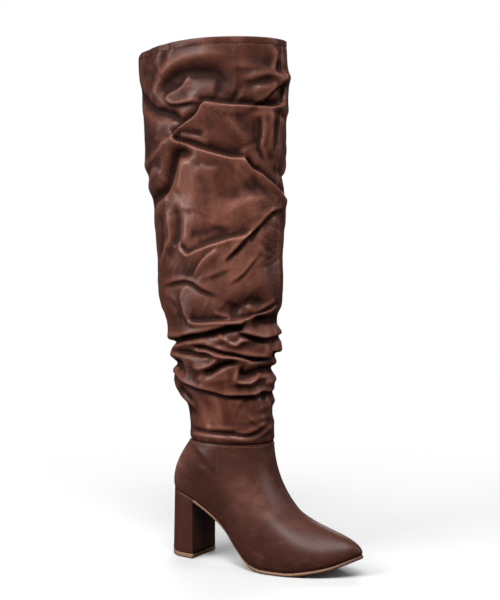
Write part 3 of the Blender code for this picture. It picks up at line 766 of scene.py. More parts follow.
def rubbed_and_lit(patches: Sequence[RubAndLight], across: Array, up: Array, run: Array | float, rise: float,
           turn: float) -> Array:
    """How far the colour is painted lighter, or darker, as wear, dye, painted highlight and painted shade:
    each patch is a bell over a leaning oval, and the bells are added.

    Args:
        patches: The patches.
        across: Places round the piece.
        up: Places up the piece.
        run: Millimetres to one step round it, below 0 where the steps run to the left.
        rise: Millimetres to one step up it.
        turn: Steps in one whole turn.

    Returns:
        The depth at each place.
    """
    total = np.zeros(np.broadcast(across, up).shape)
    for patch in patches:
        right = wrapped(across - patch.across, turn) * run
        above = (up - patch.height) * rise
        total += patch.depth * bell(right - patch.lean * above, patch.wide) * bell(above, patch.tall)
    return total


# Finishes

class Graph:
    """Nodes of one shader tree, made and joined by short calls."""

    def __init__(self, tree: Tree) -> None:
        """Keeps the tree."""
        self.tree = tree

    def set(self, node: Node, inputs: dict) -> None:
        """Gives sockets of a node their values, or joins them to other sockets.

        Args:
            node: The node.
            inputs: Values or sockets, by the name or number of the node's own socket.
        """
        for name, value in inputs.items():
            if isinstance(value, Socket):
                self.tree.links.new(value, node.inputs[name])
            else:
                node.inputs[name].default_value = value

    def add(self, kind: str, inputs: dict | None = None, **settings: object) -> Node:
        """Makes a node.

        Args:
            kind: Its type's name after ShaderNode.
            inputs: Values of its sockets, or sockets to join to them, by name or number.
            settings: Its own properties.

        Returns:
            The node.
        """
        node = self.tree.nodes.new(kind if kind.startswith("Node") else "ShaderNode" + kind)
        for name, value in settings.items():
            setattr(node, name, value)
        self.set(node, inputs or {})
        return node

    def place(self) -> Socket:
        """Where the point lies on the piece, in metres."""
        return self.add("TexCoord").outputs["Object"]

    def carried(self, name: str) -> Socket:
        """A value that the mesh carries at its points."""
        return self.add("Attribute", attribute_name=name).outputs["Fac"]

    def drawn(self, place: object, by: object) -> Socket:
        """A place stretched along its axes."""
        return self.add("VectorMath", {0: place, 1: by}, operation="MULTIPLY").outputs["Vector"]

    def mix(self, factor: object, first: object, second: object) -> Socket:
        """A blend of two colours by a factor."""
        return self.add("MixRGB", {"Fac": factor, "Color1": first, "Color2": second}).outputs["Color"]

    def math(self, operation: str, first: object, second: object) -> Socket:
        """One step of arithmetic on two values."""
        return self.add("Math", {0: first, 1: second}, operation=operation).outputs[0]

    def times(self, first: object, second: object) -> Socket:
        """The product of two values."""
        return self.math("MULTIPLY", first, second)

    def ranged(self, value: object, span: Pair, to: Pair = (0.0, 1.0)) -> Socket:
        """A value carried from one range to another and held inside it."""
        inputs = {"Value": value, "From Min": span[0], "From Max": span[1], "To Min": to[0], "To Max": to[1]}
        return self.add("MapRange", inputs, clamp=True).outputs["Result"]

    def bump(self, height: object, depth: float, strength: float, under: object = None) -> Socket:
        """A normal tilted by a height, over another bump where there is one."""
        inputs = {"Height": height, "Distance": depth, "Strength": strength}
        return self.add("Bump", inputs | ({"Normal": under} if under else {})).outputs["Normal"]


def rgba(colour: Colour) -> tuple[float, float, float, float]:
    """A colour with full cover."""
    return (*colour, 1.0)


def new_material(name: str) -> tuple[Material, Graph, Node]:
    """A material, its graph and its shader.

    Args:
        name: The material's name.

    Returns:
        The three.
    """
    made = bpy.data.materials.new(name)
    made.use_nodes = True
    return made, Graph(made.node_tree), made.node_tree.nodes["Principled BSDF"]


def new_group(name: str, inputs: dict[str, float], outputs: Sequence[str]) -> tuple[Tree, Graph, Node, Node]:
    """An empty node group with named value sockets.

    Args:
        name: The group's name.
        inputs: Its inputs and their first values.
        outputs: Its outputs.

    Returns:
        The group, its graph, and its input and output nodes.
    """
    tree = bpy.data.node_groups.new(name, "ShaderNodeTree")
    for socket, value in inputs.items():
        made = tree.interface.new_socket(socket, in_out="INPUT", socket_type="NodeSocketFloat")
        made.default_value = value
    for socket in outputs:
        tree.interface.new_socket(socket, in_out="OUTPUT", socket_type="NodeSocketFloat")
    graph = Graph(tree)
    return tree, graph, graph.add("NodeGroupInput"), graph.add("NodeGroupOutput")


@dataclass(frozen=True)
class Mottle:
    """Uneven dye: slow clouds drawn out along the leg, smaller patches and brushed streaks."""

    cloud_scale: float = 14.0
    patch_scale: float = 46.0
    streak_scale: float = 70.0
    brush: Colour = (1.0, 1.0, 0.35)
    cloud_span: Pair = (0.34, 0.66)
    patch_span: Pair = (0.36, 0.68)
    streak_span: Pair = (0.48, 0.72)

    def group(self) -> Tree:
        """Three noises on the piece's own coordinates, each stretched to run from 0 to 1.

        Returns:
            The group, with the outputs Cloud, Patch and Streak.
        """
        sockets = ("Cloud", "Patch", "Streak")
        tree, graph, into, out = new_group("leather mottle", {"Scale": 1.0, "Stretch": 1.0}, sockets)
        size = into.outputs["Scale"]
        stretch = graph.add("CombineXYZ", {"X": 1.0, "Y": 1.0, "Z": into.outputs["Stretch"]}).outputs[0]
        place = graph.drawn(graph.place(), stretch)
        cloud = graph.add("TexNoise", {"Vector": place, "Scale": graph.times(size, self.cloud_scale),
                                       "Detail": 4.0, "Roughness": 0.55})
        patch = graph.add("TexNoise", {"Vector": place, "Scale": graph.times(size, self.patch_scale),
                                       "Detail": 7.0, "Roughness": 0.72})
        streak = graph.add("TexNoise", {"Vector": graph.drawn(place, self.brush),
                                        "Scale": graph.times(size, self.streak_scale),
                                        "Detail": 7.0, "Roughness": 0.72, "Distortion": 0.6})
        graph.set(out, {"Cloud": graph.ranged(cloud.outputs["Fac"], self.cloud_span),
                        "Patch": graph.ranged(patch.outputs["Fac"], self.patch_span),
                        "Streak": graph.ranged(streak.outputs["Fac"], self.streak_span)})
        return tree


@dataclass(frozen=True)
class Grain:
    """Skin of the leather: small rounded cells, broken by finer noise, and slack wrinkles between them."""

    cells: float = 900.0
    wrinkles: float = 110.0
    fine_scale: float = 0.7
    fine_gain: float = 0.6
    wrinkle_draw: Colour = (1.0, 1.0, 1.8)
    slack_span: Pair = (0.3, 1.9)

    def group(self) -> Tree:
        """Cells and noise added together, and a ridged noise turned over so that its ridges are wrinkles.

        Returns:
            The group, with the outputs Height and Slack.
        """
        tree, graph, into, out = new_group("leather grain", {"Cells": self.cells, "Wrinkles": self.wrinkles},
                                           ("Height", "Slack"))
        place = graph.place()
        size = into.outputs["Cells"]
        cells = graph.add("TexVoronoi", {"Vector": place, "Scale": size}, feature="SMOOTH_F1")
        fine = graph.add("TexNoise", {"Vector": place, "Scale": graph.times(size, self.fine_scale),
                                      "Detail": 3.0})
        rough = graph.times(fine.outputs["Fac"], self.fine_gain)
        slack = graph.add("TexNoise", {"Vector": graph.drawn(place, self.wrinkle_draw),
                                       "Scale": into.outputs["Wrinkles"], "Detail": 3.0, "Roughness": 0.5,
                                       "Distortion": 0.2, "Offset": 1.0, "Gain": 1.0},
                          noise_type="RIDGED_MULTIFRACTAL")
        graph.set(out, {"Height": graph.math("ADD", cells.outputs["Distance"], rough),
                        "Slack": graph.ranged(slack.outputs["Fac"], self.slack_span, (1.0, 0.0))})
        return tree


@dataclass(frozen=True)
class Groups:
    """The shared effects, made once."""

    mottle: Tree
    grain: Tree

    @classmethod
    def make(cls) -> "Groups":
        """Builds both groups."""
        return cls(Mottle().group(), Grain().group())


@dataclass(frozen=True)
class Leather:
    """A dyed leather: painted shade darkens the troughs, partly as dye gathered there, and painted highlight
    makes the ridges lighter and redder, partly as wear.
    """

    name: str
    # deep colour: crackle in the grain, and also painted shade in the troughs
    deep: Colour = (0.014, 0.0046, 0.0031)
    smoke: Colour = (0.030, 0.0110, 0.0090)
    body: Colour = (0.082, 0.0235, 0.0140)
    # colour of rubbed patches, and of painted highlight on ridges and lit patches
    worn_and_lit: Colour = (0.235, 0.086, 0.056)
    stretch: float = 0.5
    roughness: Pair = (0.36, 0.5)
    # ridge gain and span: painted highlight on ridges, partly wear; valley gain and span: painted shade in
    # troughs, partly dye gathered there
    ridge_gain: float = 0.37
    ridge_span: Pair = (0.05, 0.9)
    valley_gain: float = 0.8
    valley_span: Pair = (-0.05, -0.8)
    cloud_gain: float = 0.7
    streak_gain: float = 0.8
    patch_gain: float = 0.4
    patch_span: Pair = (0.45, 1.0)
    broken_span: Pair = (0.1, 0.8)
    broken: Pair = (0.3, 1.0)
    grain_depth: float = 0.00018
    grain_strength: float = 0.8
    slack_depth: float = 0.0003
    loose_span: Pair = (0.35, 0.9)
    loose: Pair = (0.15, 1.0)
    crackle_gain: float = 0.2
    crackle_span: Pair = (0.45, 0.1)
    matt_gain: float = 0.32
    matt_span: Pair = (0.0, -0.6)
    coat: float = 0.25
    coat_span: Pair = (-0.5, 0.1)
    rub_shine: Pair = (0.4, 1.8)
    rub_shine_span: Pair = (-0.5, 0.8)
    coat_roughness: float = 0.25
    specular: float = 0.1

    def dye_and_light(self, graph: Graph, mottle: Node, slack: Socket) -> Socket:
        """The colour: body dye clouded and streaked with smoke, lightened and darkened by patches of wear,
        dye, painted highlight and painted shade, crackled, and given painted highlight on ridges and painted
        shade in troughs by the folds.

        Args:
            graph: The material's graph.
            mottle: The mottle's node there.
            slack: The grain's wrinkles.

        Returns:
            The colour's socket.
        """
        deep, smoke, worn_and_lit = rgba(self.deep), rgba(self.smoke), rgba(self.worn_and_lit)
        patch, fold, rub_and_light = mottle.outputs["Patch"], graph.carried("fold"), graph.carried("rub_and_light")
        colour = graph.mix(graph.times(mottle.outputs["Cloud"], self.cloud_gain), rgba(self.body), smoke)
        colour = graph.mix(graph.times(mottle.outputs["Streak"], self.streak_gain), colour, smoke)
        broken = graph.ranged(patch, self.broken_span, self.broken)
        # patches made lighter, as wear and as painted highlight
        bare_and_lit = graph.times(graph.ranged(rub_and_light, (0.0, 1.0)), broken)
        bare_and_lit = graph.math("MAXIMUM", graph.ranged(patch, self.patch_span, (0.0, self.patch_gain)), bare_and_lit)
        colour = graph.mix(bare_and_lit, colour, worn_and_lit)
        # patches made darker, as dye and as painted shade
        colour = graph.mix(graph.times(graph.ranged(rub_and_light, (0.0, -1.0)), broken), colour, smoke)
        colour = graph.mix(graph.ranged(slack, self.crackle_span, (0.0, self.crackle_gain)), colour, deep)
        # painted highlight on ridges, partly wear
        colour = graph.mix(graph.ranged(fold, self.ridge_span, (0.0, self.ridge_gain)), colour, worn_and_lit)
        # painted shade in troughs, partly dye gathered there
        return graph.mix(graph.ranged(fold, self.valley_span, (0.0, self.valley_gain)), colour, deep)

    def material(self, groups: Groups) -> Material:
        """Builds the material: colour by mottle and patches, painted highlight and painted shade by fold,
        gloss by mottle, bump by grain and slack.

        Args:
            groups: The shared effects.

        Returns:
            The material.
        """
        made, graph, shader = new_material(self.name)
        mottle = graph.add("Group", {"Stretch": self.stretch}, node_tree=groups.mottle)
        grain = graph.add("Group", node_tree=groups.grain)
        fold, slack = graph.carried("fold"), grain.outputs["Slack"]
        gloss = graph.ranged(mottle.outputs["Patch"], (0.0, 1.0), self.roughness)
        gloss = graph.math("ADD", gloss, graph.ranged(fold, self.matt_span, (0.0, self.matt_gain)))
        loose = graph.times(slack, graph.ranged(mottle.outputs["Cloud"], self.loose_span, self.loose))
        wrinkles = graph.bump(loose, self.slack_depth, 1.0)
        skin = graph.bump(grain.outputs["Height"], self.grain_depth, self.grain_strength, wrinkles)
        shine = graph.ranged(graph.carried("rub_and_light"), self.rub_shine_span, self.rub_shine)
        coat = graph.times(graph.ranged(fold, self.coat_span, (0.0, self.coat)), shine)
        graph.set(shader, {"Base Color": self.dye_and_light(graph, mottle, slack), "Roughness": gloss,
                           "Normal": skin, "Coat Weight": coat,
                           "Coat Roughness": self.coat_roughness, "Specular IOR Level": self.specular})
        return made


@dataclass(frozen=True)
class SoleFinish:
    """Tan sole stock: fine streaks along the foot, a few darker scuffs, and painted shade up the waist, where
    the sole rises off the floor.
    """

    name: str
    light: Colour = (0.29, 0.155, 0.095)
    dark: Colour = (0.13, 0.070, 0.045)
    waist_shade: Colour = (0.085, 0.036, 0.022)
    draw: Colour = (0.25, 1.0, 3.0)
    streak_scale: float = 260.0
    streak_span: Pair = (0.3, 0.75)
    streak_gain: float = 0.55
    scuff_scale: float = 2.0
    scuff_gain: float = 0.35
    waist_shade_foot: Pair = (0.008, 0.024)
    waist_shade_head: Pair = (0.038, 0.05)
    waist_shade_gain: Pair = (0.7, 0.1)
    gloss_span: Pair = (0.2, 0.8)
    roughness: Pair = (0.55, 0.7)
    bump_depth: float = 0.0002
    bump_strength: float = 0.6
    specular: float = 0.3

    def material(self, groups: Groups) -> Material:
        """Builds the material from streaks, the shared mottle and the height above the floor.

        Args:
            groups: The shared effects.

        Returns:
            The material.
        """
        made, graph, shader = new_material(self.name)
        place = graph.place()
        streak = graph.add("TexNoise", {"Vector": graph.drawn(place, self.draw), "Scale": self.streak_scale,
                                        "Detail": 4.0}).outputs["Fac"]
        mottle = graph.add("Group", {"Scale": self.scuff_scale}, node_tree=groups.mottle)
        light, dark = rgba(self.light), rgba(self.dark)
        colour = graph.mix(graph.ranged(streak, self.streak_span, (0.0, self.streak_gain)), light, dark)
        colour = graph.mix(graph.times(mottle.outputs["Patch"], self.scuff_gain), colour, dark)
        # painted shade: darker with height above the floor, so the raised waist is shaded
        level = graph.add("SeparateXYZ", {0: place}).outputs["Z"]
        waist = graph.ranged(level, self.waist_shade_head, self.waist_shade_gain)
        colour = graph.mix(graph.times(graph.ranged(level, self.waist_shade_foot), waist), colour, rgba(self.waist_shade))
        gloss = graph.ranged(streak, self.gloss_span, self.roughness)
        bump = graph.bump(streak, self.bump_depth, self.bump_strength)
        graph.set(shader, {"Base Color": colour, "Roughness": gloss, "Normal": bump,
                           "Specular IOR Level": self.specular})
        return made


@dataclass(frozen=True)
class Lining:
    """Napped textile lining: a close knit seen as tiny cells, a little worn."""

    name: str
    light: Colour = (0.30, 0.20, 0.135)
    dark: Colour = (0.15, 0.092, 0.06)
    knit: float = 1100.0
    knit_span: Pair = (0.1, 0.8)
    knit_gain: float = 0.7
    cloud_gain: float = 0.4
    roughness: Pair = (0.8, 0.95)
    bump_depth: float = 0.0003
    bump_strength: float = 0.7

    def material(self, groups: Groups) -> Material:
        """Builds the material from small cells and the shared mottle.

        Args:
            groups: The shared effects.

        Returns:
            The material.
        """
        made, graph, shader = new_material(self.name)
        cells = graph.add("TexVoronoi", {"Vector": graph.place(), "Scale": self.knit}).outputs["Distance"]
        mottle = graph.add("Group", node_tree=groups.mottle)
        light, dark = rgba(self.light), rgba(self.dark)
        colour = graph.mix(graph.ranged(cells, self.knit_span, (0.0, self.knit_gain)), light, dark)
        colour = graph.mix(graph.times(mottle.outputs["Cloud"], self.cloud_gain), colour, dark)
        gloss = graph.ranged(cells, (0.0, 1.0), self.roughness)
        bump = graph.bump(cells, self.bump_depth, self.bump_strength)
        graph.set(shader, {"Base Color": colour, "Roughness": gloss, "Normal": bump})
        return made


@dataclass(frozen=True)
class Thread:
    """Waxed sewing thread: a fine twist of light and dark."""

    name: str
    light: Colour = (0.15, 0.066, 0.045)
    dark: Colour = (0.05, 0.02, 0.014)
    twist: float = 900.0
    waver: float = 2.0
    roughness: Pair = (0.45, 0.6)

    def material(self) -> Material:
        """Builds the material from slanting bands.

        Returns:
            The material.
        """
        made, graph, shader = new_material(self.name)
        twist = graph.add("TexWave", {"Vector": graph.place(), "Scale": self.twist, "Distortion": self.waver},
                          bands_direction="DIAGONAL").outputs["Fac"]
        graph.set(shader, {"Base Color": graph.mix(twist, rgba(self.dark), rgba(self.light)),
                           "Roughness": graph.ranged(twist, (0.0, 1.0), self.roughness)})
        return made


# Meshes

@dataclass(frozen=True)
class Place:
    """Where the foot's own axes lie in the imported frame, in millimetres."""

    x: float
    y: float

    @classmethod
    def find(cls) -> "Place":
        """Reads it from the heel block, whose breast and outer edge have known sizes.

        Returns:
            The place.
        """
        low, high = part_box("heel_block")
        breast = LAST_ROWS[BREAST_STATION]
        return cls(breast.x - high.x / MM, breast.outer - low.y / MM)

    def metres(self, points: Array) -> Array:
        """Points of the foot's axes in the frame's metres."""
        return (np.asarray(points, float) - np.array([self.x, self.y, 0.0])) * MM


@dataclass(frozen=True)
class Shape:
    """A finished surface: its points, its four-sided faces, and what each point and face carries."""

    points: Array
    faces: Array
    fold: Array | None = None
    lined: Array | None = None
    rub_and_light: Array | None = None

    def volume(self) -> float:
        """Signed volume inside the faces: a sixth of the triple product of each triangle's corners.

        Returns:
            The volume, below 0 where the faces point inwards.
        """
        a, b, c, d = (self.points[self.faces[:, k]] for k in range(4))
        halves = np.einsum("ij,ij->i", a, np.cross(b, c)) + np.einsum("ij,ij->i", a, np.cross(c, d))
        return float(halves.sum() / 6.0)


def make_piece(label: str, shape: Shape, place: Place, materials: Sequence[Material], node: str,
               replaces: bool = True, sharp_deg: float = 50.0) -> bpy.types.Object:
    """Puts a surface into a mesh that rides on the frame.

    Args:
        label: The piece's name.
        shape: The surface, in millimetres on the foot's axes.
        place: Where those axes lie.
        materials: Outer finish, then the lining's where there is one.
        node: The frame's node that it belongs to.
        replaces: Whether it stands for that node.
        sharp_deg: Edges that turn more than this stay sharp.

    Returns:
        The object.
    """
    faces = shape.faces if shape.volume() >= 0.0 else shape.faces[:, ::-1]
    mesh = bpy.data.meshes.new(label)
    mesh.vertices.add(len(shape.points))
    mesh.vertices.foreach_set("co", place.metres(shape.points).astype(np.float32).ravel())
    # a face whose corner repeats the one before it is a triangle
    own = faces != np.roll(faces, 1, axis=1)
    sides = own.sum(axis=1)
    mesh.loops.add(int(sides.sum()))
    mesh.loops.foreach_set("vertex_index", faces[own].astype(np.int32))
    mesh.polygons.add(len(faces))
    mesh.polygons.foreach_set("loop_start", (np.cumsum(sides) - sides).astype(np.int32))
    mesh.update(calc_edges=True)
    for name, values in (("fold", shape.fold), ("rub_and_light", shape.rub_and_light)):
        if values is not None:
            full = np.zeros(len(shape.points), np.float32)
            full[: values.size] = values.ravel()
            mesh.attributes.new(name, "FLOAT", "POINT").data.foreach_set("value", full)
    for material in materials:
        mesh.materials.append(material)
    if shape.lined is not None:
        mesh.polygons.foreach_set("material_index", shape.lined.astype(np.int32))
    mesh.polygons.foreach_set("use_smooth", np.ones(len(faces), bool))
    mesh.set_sharp_from_angle(angle=math.radians(sharp_deg))
    piece = bpy.data.objects.new(label, mesh)
    bpy.context.scene.collection.objects.link(piece)
    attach(piece, "root")
    if replaces:
        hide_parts(node)
    return piece


def wall(outer: Array, inner: Array, fold: Array, rub_and_light: Array) -> Shape:
    """A closed wall between an outer and an inner surface of closed rows, joined at both ends.

    Args:
        outer: Outer rows, upwards.
        inner: Inner rows, upwards, with as many columns.
        fold: How far each outer point stands above or below its surroundings, from -1 to 1.
        rub_and_light: How far each outer point is painted lighter, or darker where below 0, as wear, dye,
            painted highlight and painted shade.

    Returns:
        The wall, its inner faces marked as lined.
    """
    rows, columns = outer.shape[:2]
    inner_rows = inner.shape[0]
    first = rows * columns
    i = np.arange(columns)
    j = (i + 1) % columns
    foot = np.stack([first + i, first + j, j, i], -1)
    top_out, top_in = (rows - 1) * columns, first + (inner_rows - 1) * columns
    head = np.stack([top_out + i, top_out + j, top_in + j, top_in + i], -1)
    lining = ring_faces(inner_rows, columns, first)[:, ::-1]
    faces = np.concatenate([ring_faces(rows, columns), foot, head, lining])
    lined = np.concatenate([np.zeros(len(faces) - len(lining)), np.ones(len(lining))])
    points = np.concatenate([outer.reshape(-1, 3), inner.reshape(-1, 3)])
    return Shape(points, faces, fold, lined, rub_and_light)


def capped(rings: Sequence[Array]) -> Shape:
    """A solid of closed rings whose first and last rings are filled by strips from side to side.

    Args:
        rings: Rings with the same even number of points; point 0 and the one opposite lie on the long axis.

    Returns:
        The solid.
    """
    around = len(rings[0])
    i = np.arange(around // 2)
    strip = np.stack([i, i + 1, (around - i - 1) % around, (around - i) % around], -1)
    last = (len(rings) - 1) * around
    faces = np.concatenate([ring_faces(len(rings), around), strip[:, ::-1], last + strip])
    return Shape(np.concatenate(rings), faces)


# The leg

@dataclass
class Leg:
    """The slouched shaft: a plain tube of leg sections with every crease laid on it."""

    crumple: Crumple = Crumple()
    columns: int = 296
    outer_share: float = 0.4
    dense_deg: float = 25.0
    ankle_rows: int = 30
    slouch_rows: int = 100
    upper_rows: int = 184
    slouch_foot: float = 182.0
    slouch_head: float = 294.0
    wall_thick: float = 2.0
    lining_step: int = 21
    lining_reach: tuple[int, ...] = (3, 6, 12)
    lining_passes: int = 12
    sway: float = 0.5
    least_sway: float = 0.35
    sway_seed: int = 11
    waves: int = 36
    wave_turns: tuple[int, int] = (2, 15)
    wave_long: Pair = (24.0, 70.0)
    wave_sum: float = 4.2
    calm_foot: float = 145.0
    calm_head: float = COLLAR_HEIGHT - 4.0
    calm_run: float = 40.0
    face_deg: float = 62.0
    edge_deg: Pair = (54.0, 128.0)
    edge_run: float = 18.0
    edge_passes: int = 5
    edge_calm: float = 0.6
    still_below: float = 4.0
    still_run: float = 8.0
    least_per_degree: float = 0.2
    seam_raise: float = 1.1
    seam_per_degree: float = 1.2
    welt_wide: float = 1.6
    groove_share: float = 0.7
    groove_place: float = 2.4
    groove_wide: float = 1.0
    foot_roll: float = 1.6
    foot_roll_tall: float = 2.2
    tucked: float = 1.6
    tuck_in: float = 0.4
    tuck_start: float = 0.6
    tuck_run: float = 1.2
    fine_passes: int = 8
    fine_scale: float = 0.9
    fine_limits: Pair = (-0.36, 1.0)
    broad_passes: int = 70
    broad_scale: float = 2.6
    broad_limits: Pair = (-1.0, 0.35)

    def __post_init__(self) -> None:
        """Works out the grid and its creased surface once."""
        self.deg = self.bearings()
        foot, head = ANKLE_HEIGHT + GAP, COLLAR_HEIGHT - BAND_TALL + self.tucked
        levels = np.concatenate([
            np.linspace(foot, self.slouch_foot, self.ankle_rows, endpoint=False),
            np.linspace(self.slouch_foot, self.slouch_head, self.slouch_rows, endpoint=False),
            np.linspace(self.slouch_head, head, self.upper_rows),
        ])[:, None]
        share = np.clip((levels - self.slouch_head) / (head - self.slouch_head), 0.0, 1.0)
        self.height = levels + (collar_line(self.deg)[None, :] - COLLAR_HEIGHT) * share
        self.bearing = self.deg[None, :] + np.zeros_like(self.height)
        self.relief, self.along, self.up = self.creased()

    def bearings(self) -> Array:
        """Bearings of the columns: even steps along the oval's edge, a little closer on the outer side.

        Returns:
            One bearing to a column.
        """
        fine = np.linspace(0.0, 360.0, 3601)
        turn = np.radians(fine)
        middle = LEG_ROWS[len(LEG_ROWS) // 2]
        weight = np.hypot(middle.half_depth * np.sin(turn), middle.half_width * np.cos(turn))
        weight = weight * (1.0 + self.outer_share * np.sin(turn + math.radians(self.dense_deg)))
        run = np.concatenate([[0.0], np.cumsum(0.5 * (weight[1:] + weight[:-1]))])
        return np.interp(np.arange(self.columns) * run[-1] / self.columns, run, fine)

    def section(self, height: Array) -> list[Array]:
        """Centre, half depth and half width of the plain leg at a height."""
        heights, names = column(LEG_ROWS, "height"), ("centre", "half_depth", "half_width")
        return [smooth(heights, column(LEG_ROWS, name), height) for name in names]

    def per_degree(self, deg: Array, height: Array) -> Array:
        """Millimetres round the leg to one degree: the length of the oval's slope there.

        Args:
            deg: Bearings.
            height: Heights.

        Returns:
            The length at each place.
        """
        _, deep, wide = self.section(height)
        turn = np.radians(deg)
        return np.hypot(deep * np.sin(turn), wide * np.cos(turn)) * math.pi / 180.0

    def undulation(self) -> Array:
        """Slow unevenness of soft leather: seeded waves round and up the leg, calmer at both ends.

        Returns:
            Its height at each point of the grid.
        """
        draw = np.random.default_rng(self.sway_seed)
        turn = np.radians(self.bearing)
        total = np.zeros_like(self.height)
        for _ in range(self.waves):
            turns = draw.integers(*self.wave_turns)
            rate = draw.uniform(-1.0, 1.0) * 2 * math.pi / draw.uniform(*self.wave_long)
            total += np.cos(turns * turn + rate * self.height + draw.uniform(0, 2 * math.pi))
        free = ease((self.height - self.calm_foot) / self.calm_run)
        free = free * ease((self.calm_head - self.height) / self.calm_run)
        return self.sway * total / self.wave_sum * (self.least_sway + (1.0 - self.least_sway) * free)

    def creased(self) -> Field:
        """Sum of all creases at the grid, rounded where the leg turns away at the edges of its outer face.

        Returns:
            Relief outwards, and slip along and up the leather.
        """
        shape = self.height.shape
        total = Field.blank(self.height.size)
        height, bearing = self.height.ravel(), self.bearing.ravel()
        per_deg = self.per_degree(bearing, height)
        one = np.ones_like(height)
        for crease in OUTER_CREASES + INNER_CREASES:
            middle = np.mean(crease.across)
            crease.add_to(total, wrapped(bearing - middle) + middle, height, -per_deg, one)
        per_deg = per_deg.reshape(shape)
        relief = total.relief.reshape(shape) + self.crumple.relief(self.bearing, self.height, per_deg)
        relief = soften(relief, 1) + self.undulation()
        away = np.abs(wrapped(self.bearing - self.face_deg))
        start, end = self.edge_deg
        edge = ease((away - start) / self.edge_run) * ease((end - away) / self.edge_run)
        relief = relief + edge * (soften(relief, self.edge_passes) - relief)
        relief *= ease((self.height - ANKLE_HEIGHT + self.still_below) / self.still_run)
        calm = 1.0 - self.edge_calm * edge
        along = calm * soften(total.along.reshape(shape), 1) / np.maximum(per_deg, self.least_per_degree)
        return Field(relief, along, calm * soften(total.up.reshape(shape), 1))

    def at(self, relief: Array, along: Array | float, up: Array | float) -> Array:
        """The leg's points: the section at the slipped place, pushed out by the relief.

        Args:
            relief: Millimetres outwards.
            along: Degrees of slip round the leg.
            up: Millimetres of slip up the leg.

        Returns:
            Rows by columns of points.
        """
        height = self.height + up
        turn = np.radians(self.bearing - along)
        centre, deep, wide = self.section(height)
        x, y = centre + (deep + relief) * np.cos(turn), -(wide + relief) * np.sin(turn)
        return np.stack([x, y, height], -1)

    def seam_ridge(self) -> Array:
        """A low welt along the shin seam: one bell, less a smaller one for the groove beside it.

        Returns:
            Its height at each point of the grid.
        """
        off = wrapped(self.bearing - SHIN_SEAM_DEG) * self.seam_per_degree
        groove = self.groove_share * bell(off - self.groove_place, self.groove_wide)
        return self.seam_raise * (bell(off, self.welt_wide) - groove)

    def rolled_foot(self) -> Array:
        """How far the lower edge turns in under itself above the ankle seam."""
        return -self.foot_roll * bell(self.height - ANKLE_HEIGHT, self.foot_roll_tall)

    def turned_in(self) -> Array:
        """How far the upper edge lies inside the band that is folded over it."""
        below = collar_line(self.bearing) - BAND_TALL - self.height
        return self.tuck_in * ease(self.tuck_start - below / self.tuck_run)

    def standing(self, passes: int, scale: float, limits: Pair) -> Array:
        """How far each point stands above its softened surroundings, as a share of a scale, in limits."""
        return np.clip((self.relief - soften(self.relief, passes)) / scale, *limits)

    def lowest(self) -> Array:
        """The lowest relief near each point, never above the plain leg.

        Returns:
            Rows by columns of relief.
        """
        low = self.relief
        for shift in self.lining_reach:
            low = np.minimum(low, np.minimum(np.roll(low, shift, axis=1), np.roll(low, -shift, axis=1)))
            ends = np.pad(low, ((shift, shift), (0, 0)), mode="edge")
            low = np.minimum(low, np.minimum(ends[: -2 * shift], ends[2 * shift:]))
        return np.minimum(low, 0.0)

    def shape(self) -> Shape:
        """The shaft's closed wall. The lining follows the lowest relief nearby, a wall's thickness inside.

        Returns:
            The wall.
        """
        relief = self.relief + self.seam_ridge() + self.rolled_foot() - self.turned_in()
        outer = self.at(relief, self.along, self.up)
        fine = self.standing(self.fine_passes, self.fine_scale, self.fine_limits)
        broad = self.standing(self.broad_passes, self.broad_scale, self.broad_limits)
        # the leather paints highlight on ridges and shade in troughs from this fold measure
        fold = np.clip(fine + broad, -1.0, 1.0)
        lining = self.at(soften(self.lowest(), self.lining_passes) - self.wall_thick, 0.0, 0.0)
        lining = lining[every(len(lining), self.lining_step)]
        rub_and_light = rubbed_and_lit(RUBS_AND_LIGHTS, self.bearing, self.height, -self.per_degree(self.bearing, self.height), 1.0, 360.0)
        return wall(outer, lining, fold, rub_and_light)

    def rim(self) -> Array:
        """The shaft's uppermost outer row."""
        return self.at(self.relief, self.along, self.up)[-1]


@dataclass
class Collar:
    """The turned strip along the top edge: a flat oval section carried round the leg's rim."""

    leg: Leg
    thick: float = 3.4
    tall: float = BAND_TALL
    proud: float = 0.05
    sides: int = 20
    across_power: float = 0.6
    upward_power: float = 0.3
    puff_seed: int = 5
    puff_turns: tuple[int, ...] = (9, 14, 19, 26, 33)
    puff: float = 0.12
    puff_turn: float = 6.28
    edge_from: float = 0.98
    edge_fold: float = 0.4

    def shape(self) -> Shape:
        """Rounded strip: a super-ellipse of its thickness and height at each bearing, slightly puffed.

        Returns:
            The strip, its upper edge given a fold value that colours it lighter.
        """
        deg = self.leg.deg
        rim = self.leg.rim()
        centre = np.array([self.leg.section(rim[:, 2])[0], np.zeros(len(deg))]).T
        out = unit(rim[:, :2] - centre)
        turn = np.linspace(0.0, 2 * math.pi, self.sides, endpoint=False)[:, None]
        across = np.sign(np.cos(turn)) * np.abs(np.cos(turn)) ** self.across_power
        upward = np.sign(np.sin(turn)) * np.abs(np.sin(turn)) ** self.upward_power
        draw = np.random.default_rng(self.puff_seed)
        waves = sum(np.cos(n * np.radians(deg) + draw.uniform(0, self.puff_turn)) for n in self.puff_turns)
        puff = self.puff * waves[None, :] * (1.0 - upward) * 0.5
        radial = self.proud - 0.5 * self.thick + 0.5 * self.thick * across + puff
        plan = rim[None, :, :2] + out[None, :, :] * radial[..., None]
        height = (collar_line(deg) - 0.5 * self.tall)[None, :] + 0.5 * self.tall * upward
        faces = ring_faces(self.sides + 1, len(deg)) % (self.sides * len(deg))
        fold = np.repeat(np.where(upward > self.edge_from, self.edge_fold, 0.0), len(deg), axis=1)
        return Shape(joined(plan, height).reshape(-1, 3), faces, fold)


# The foot

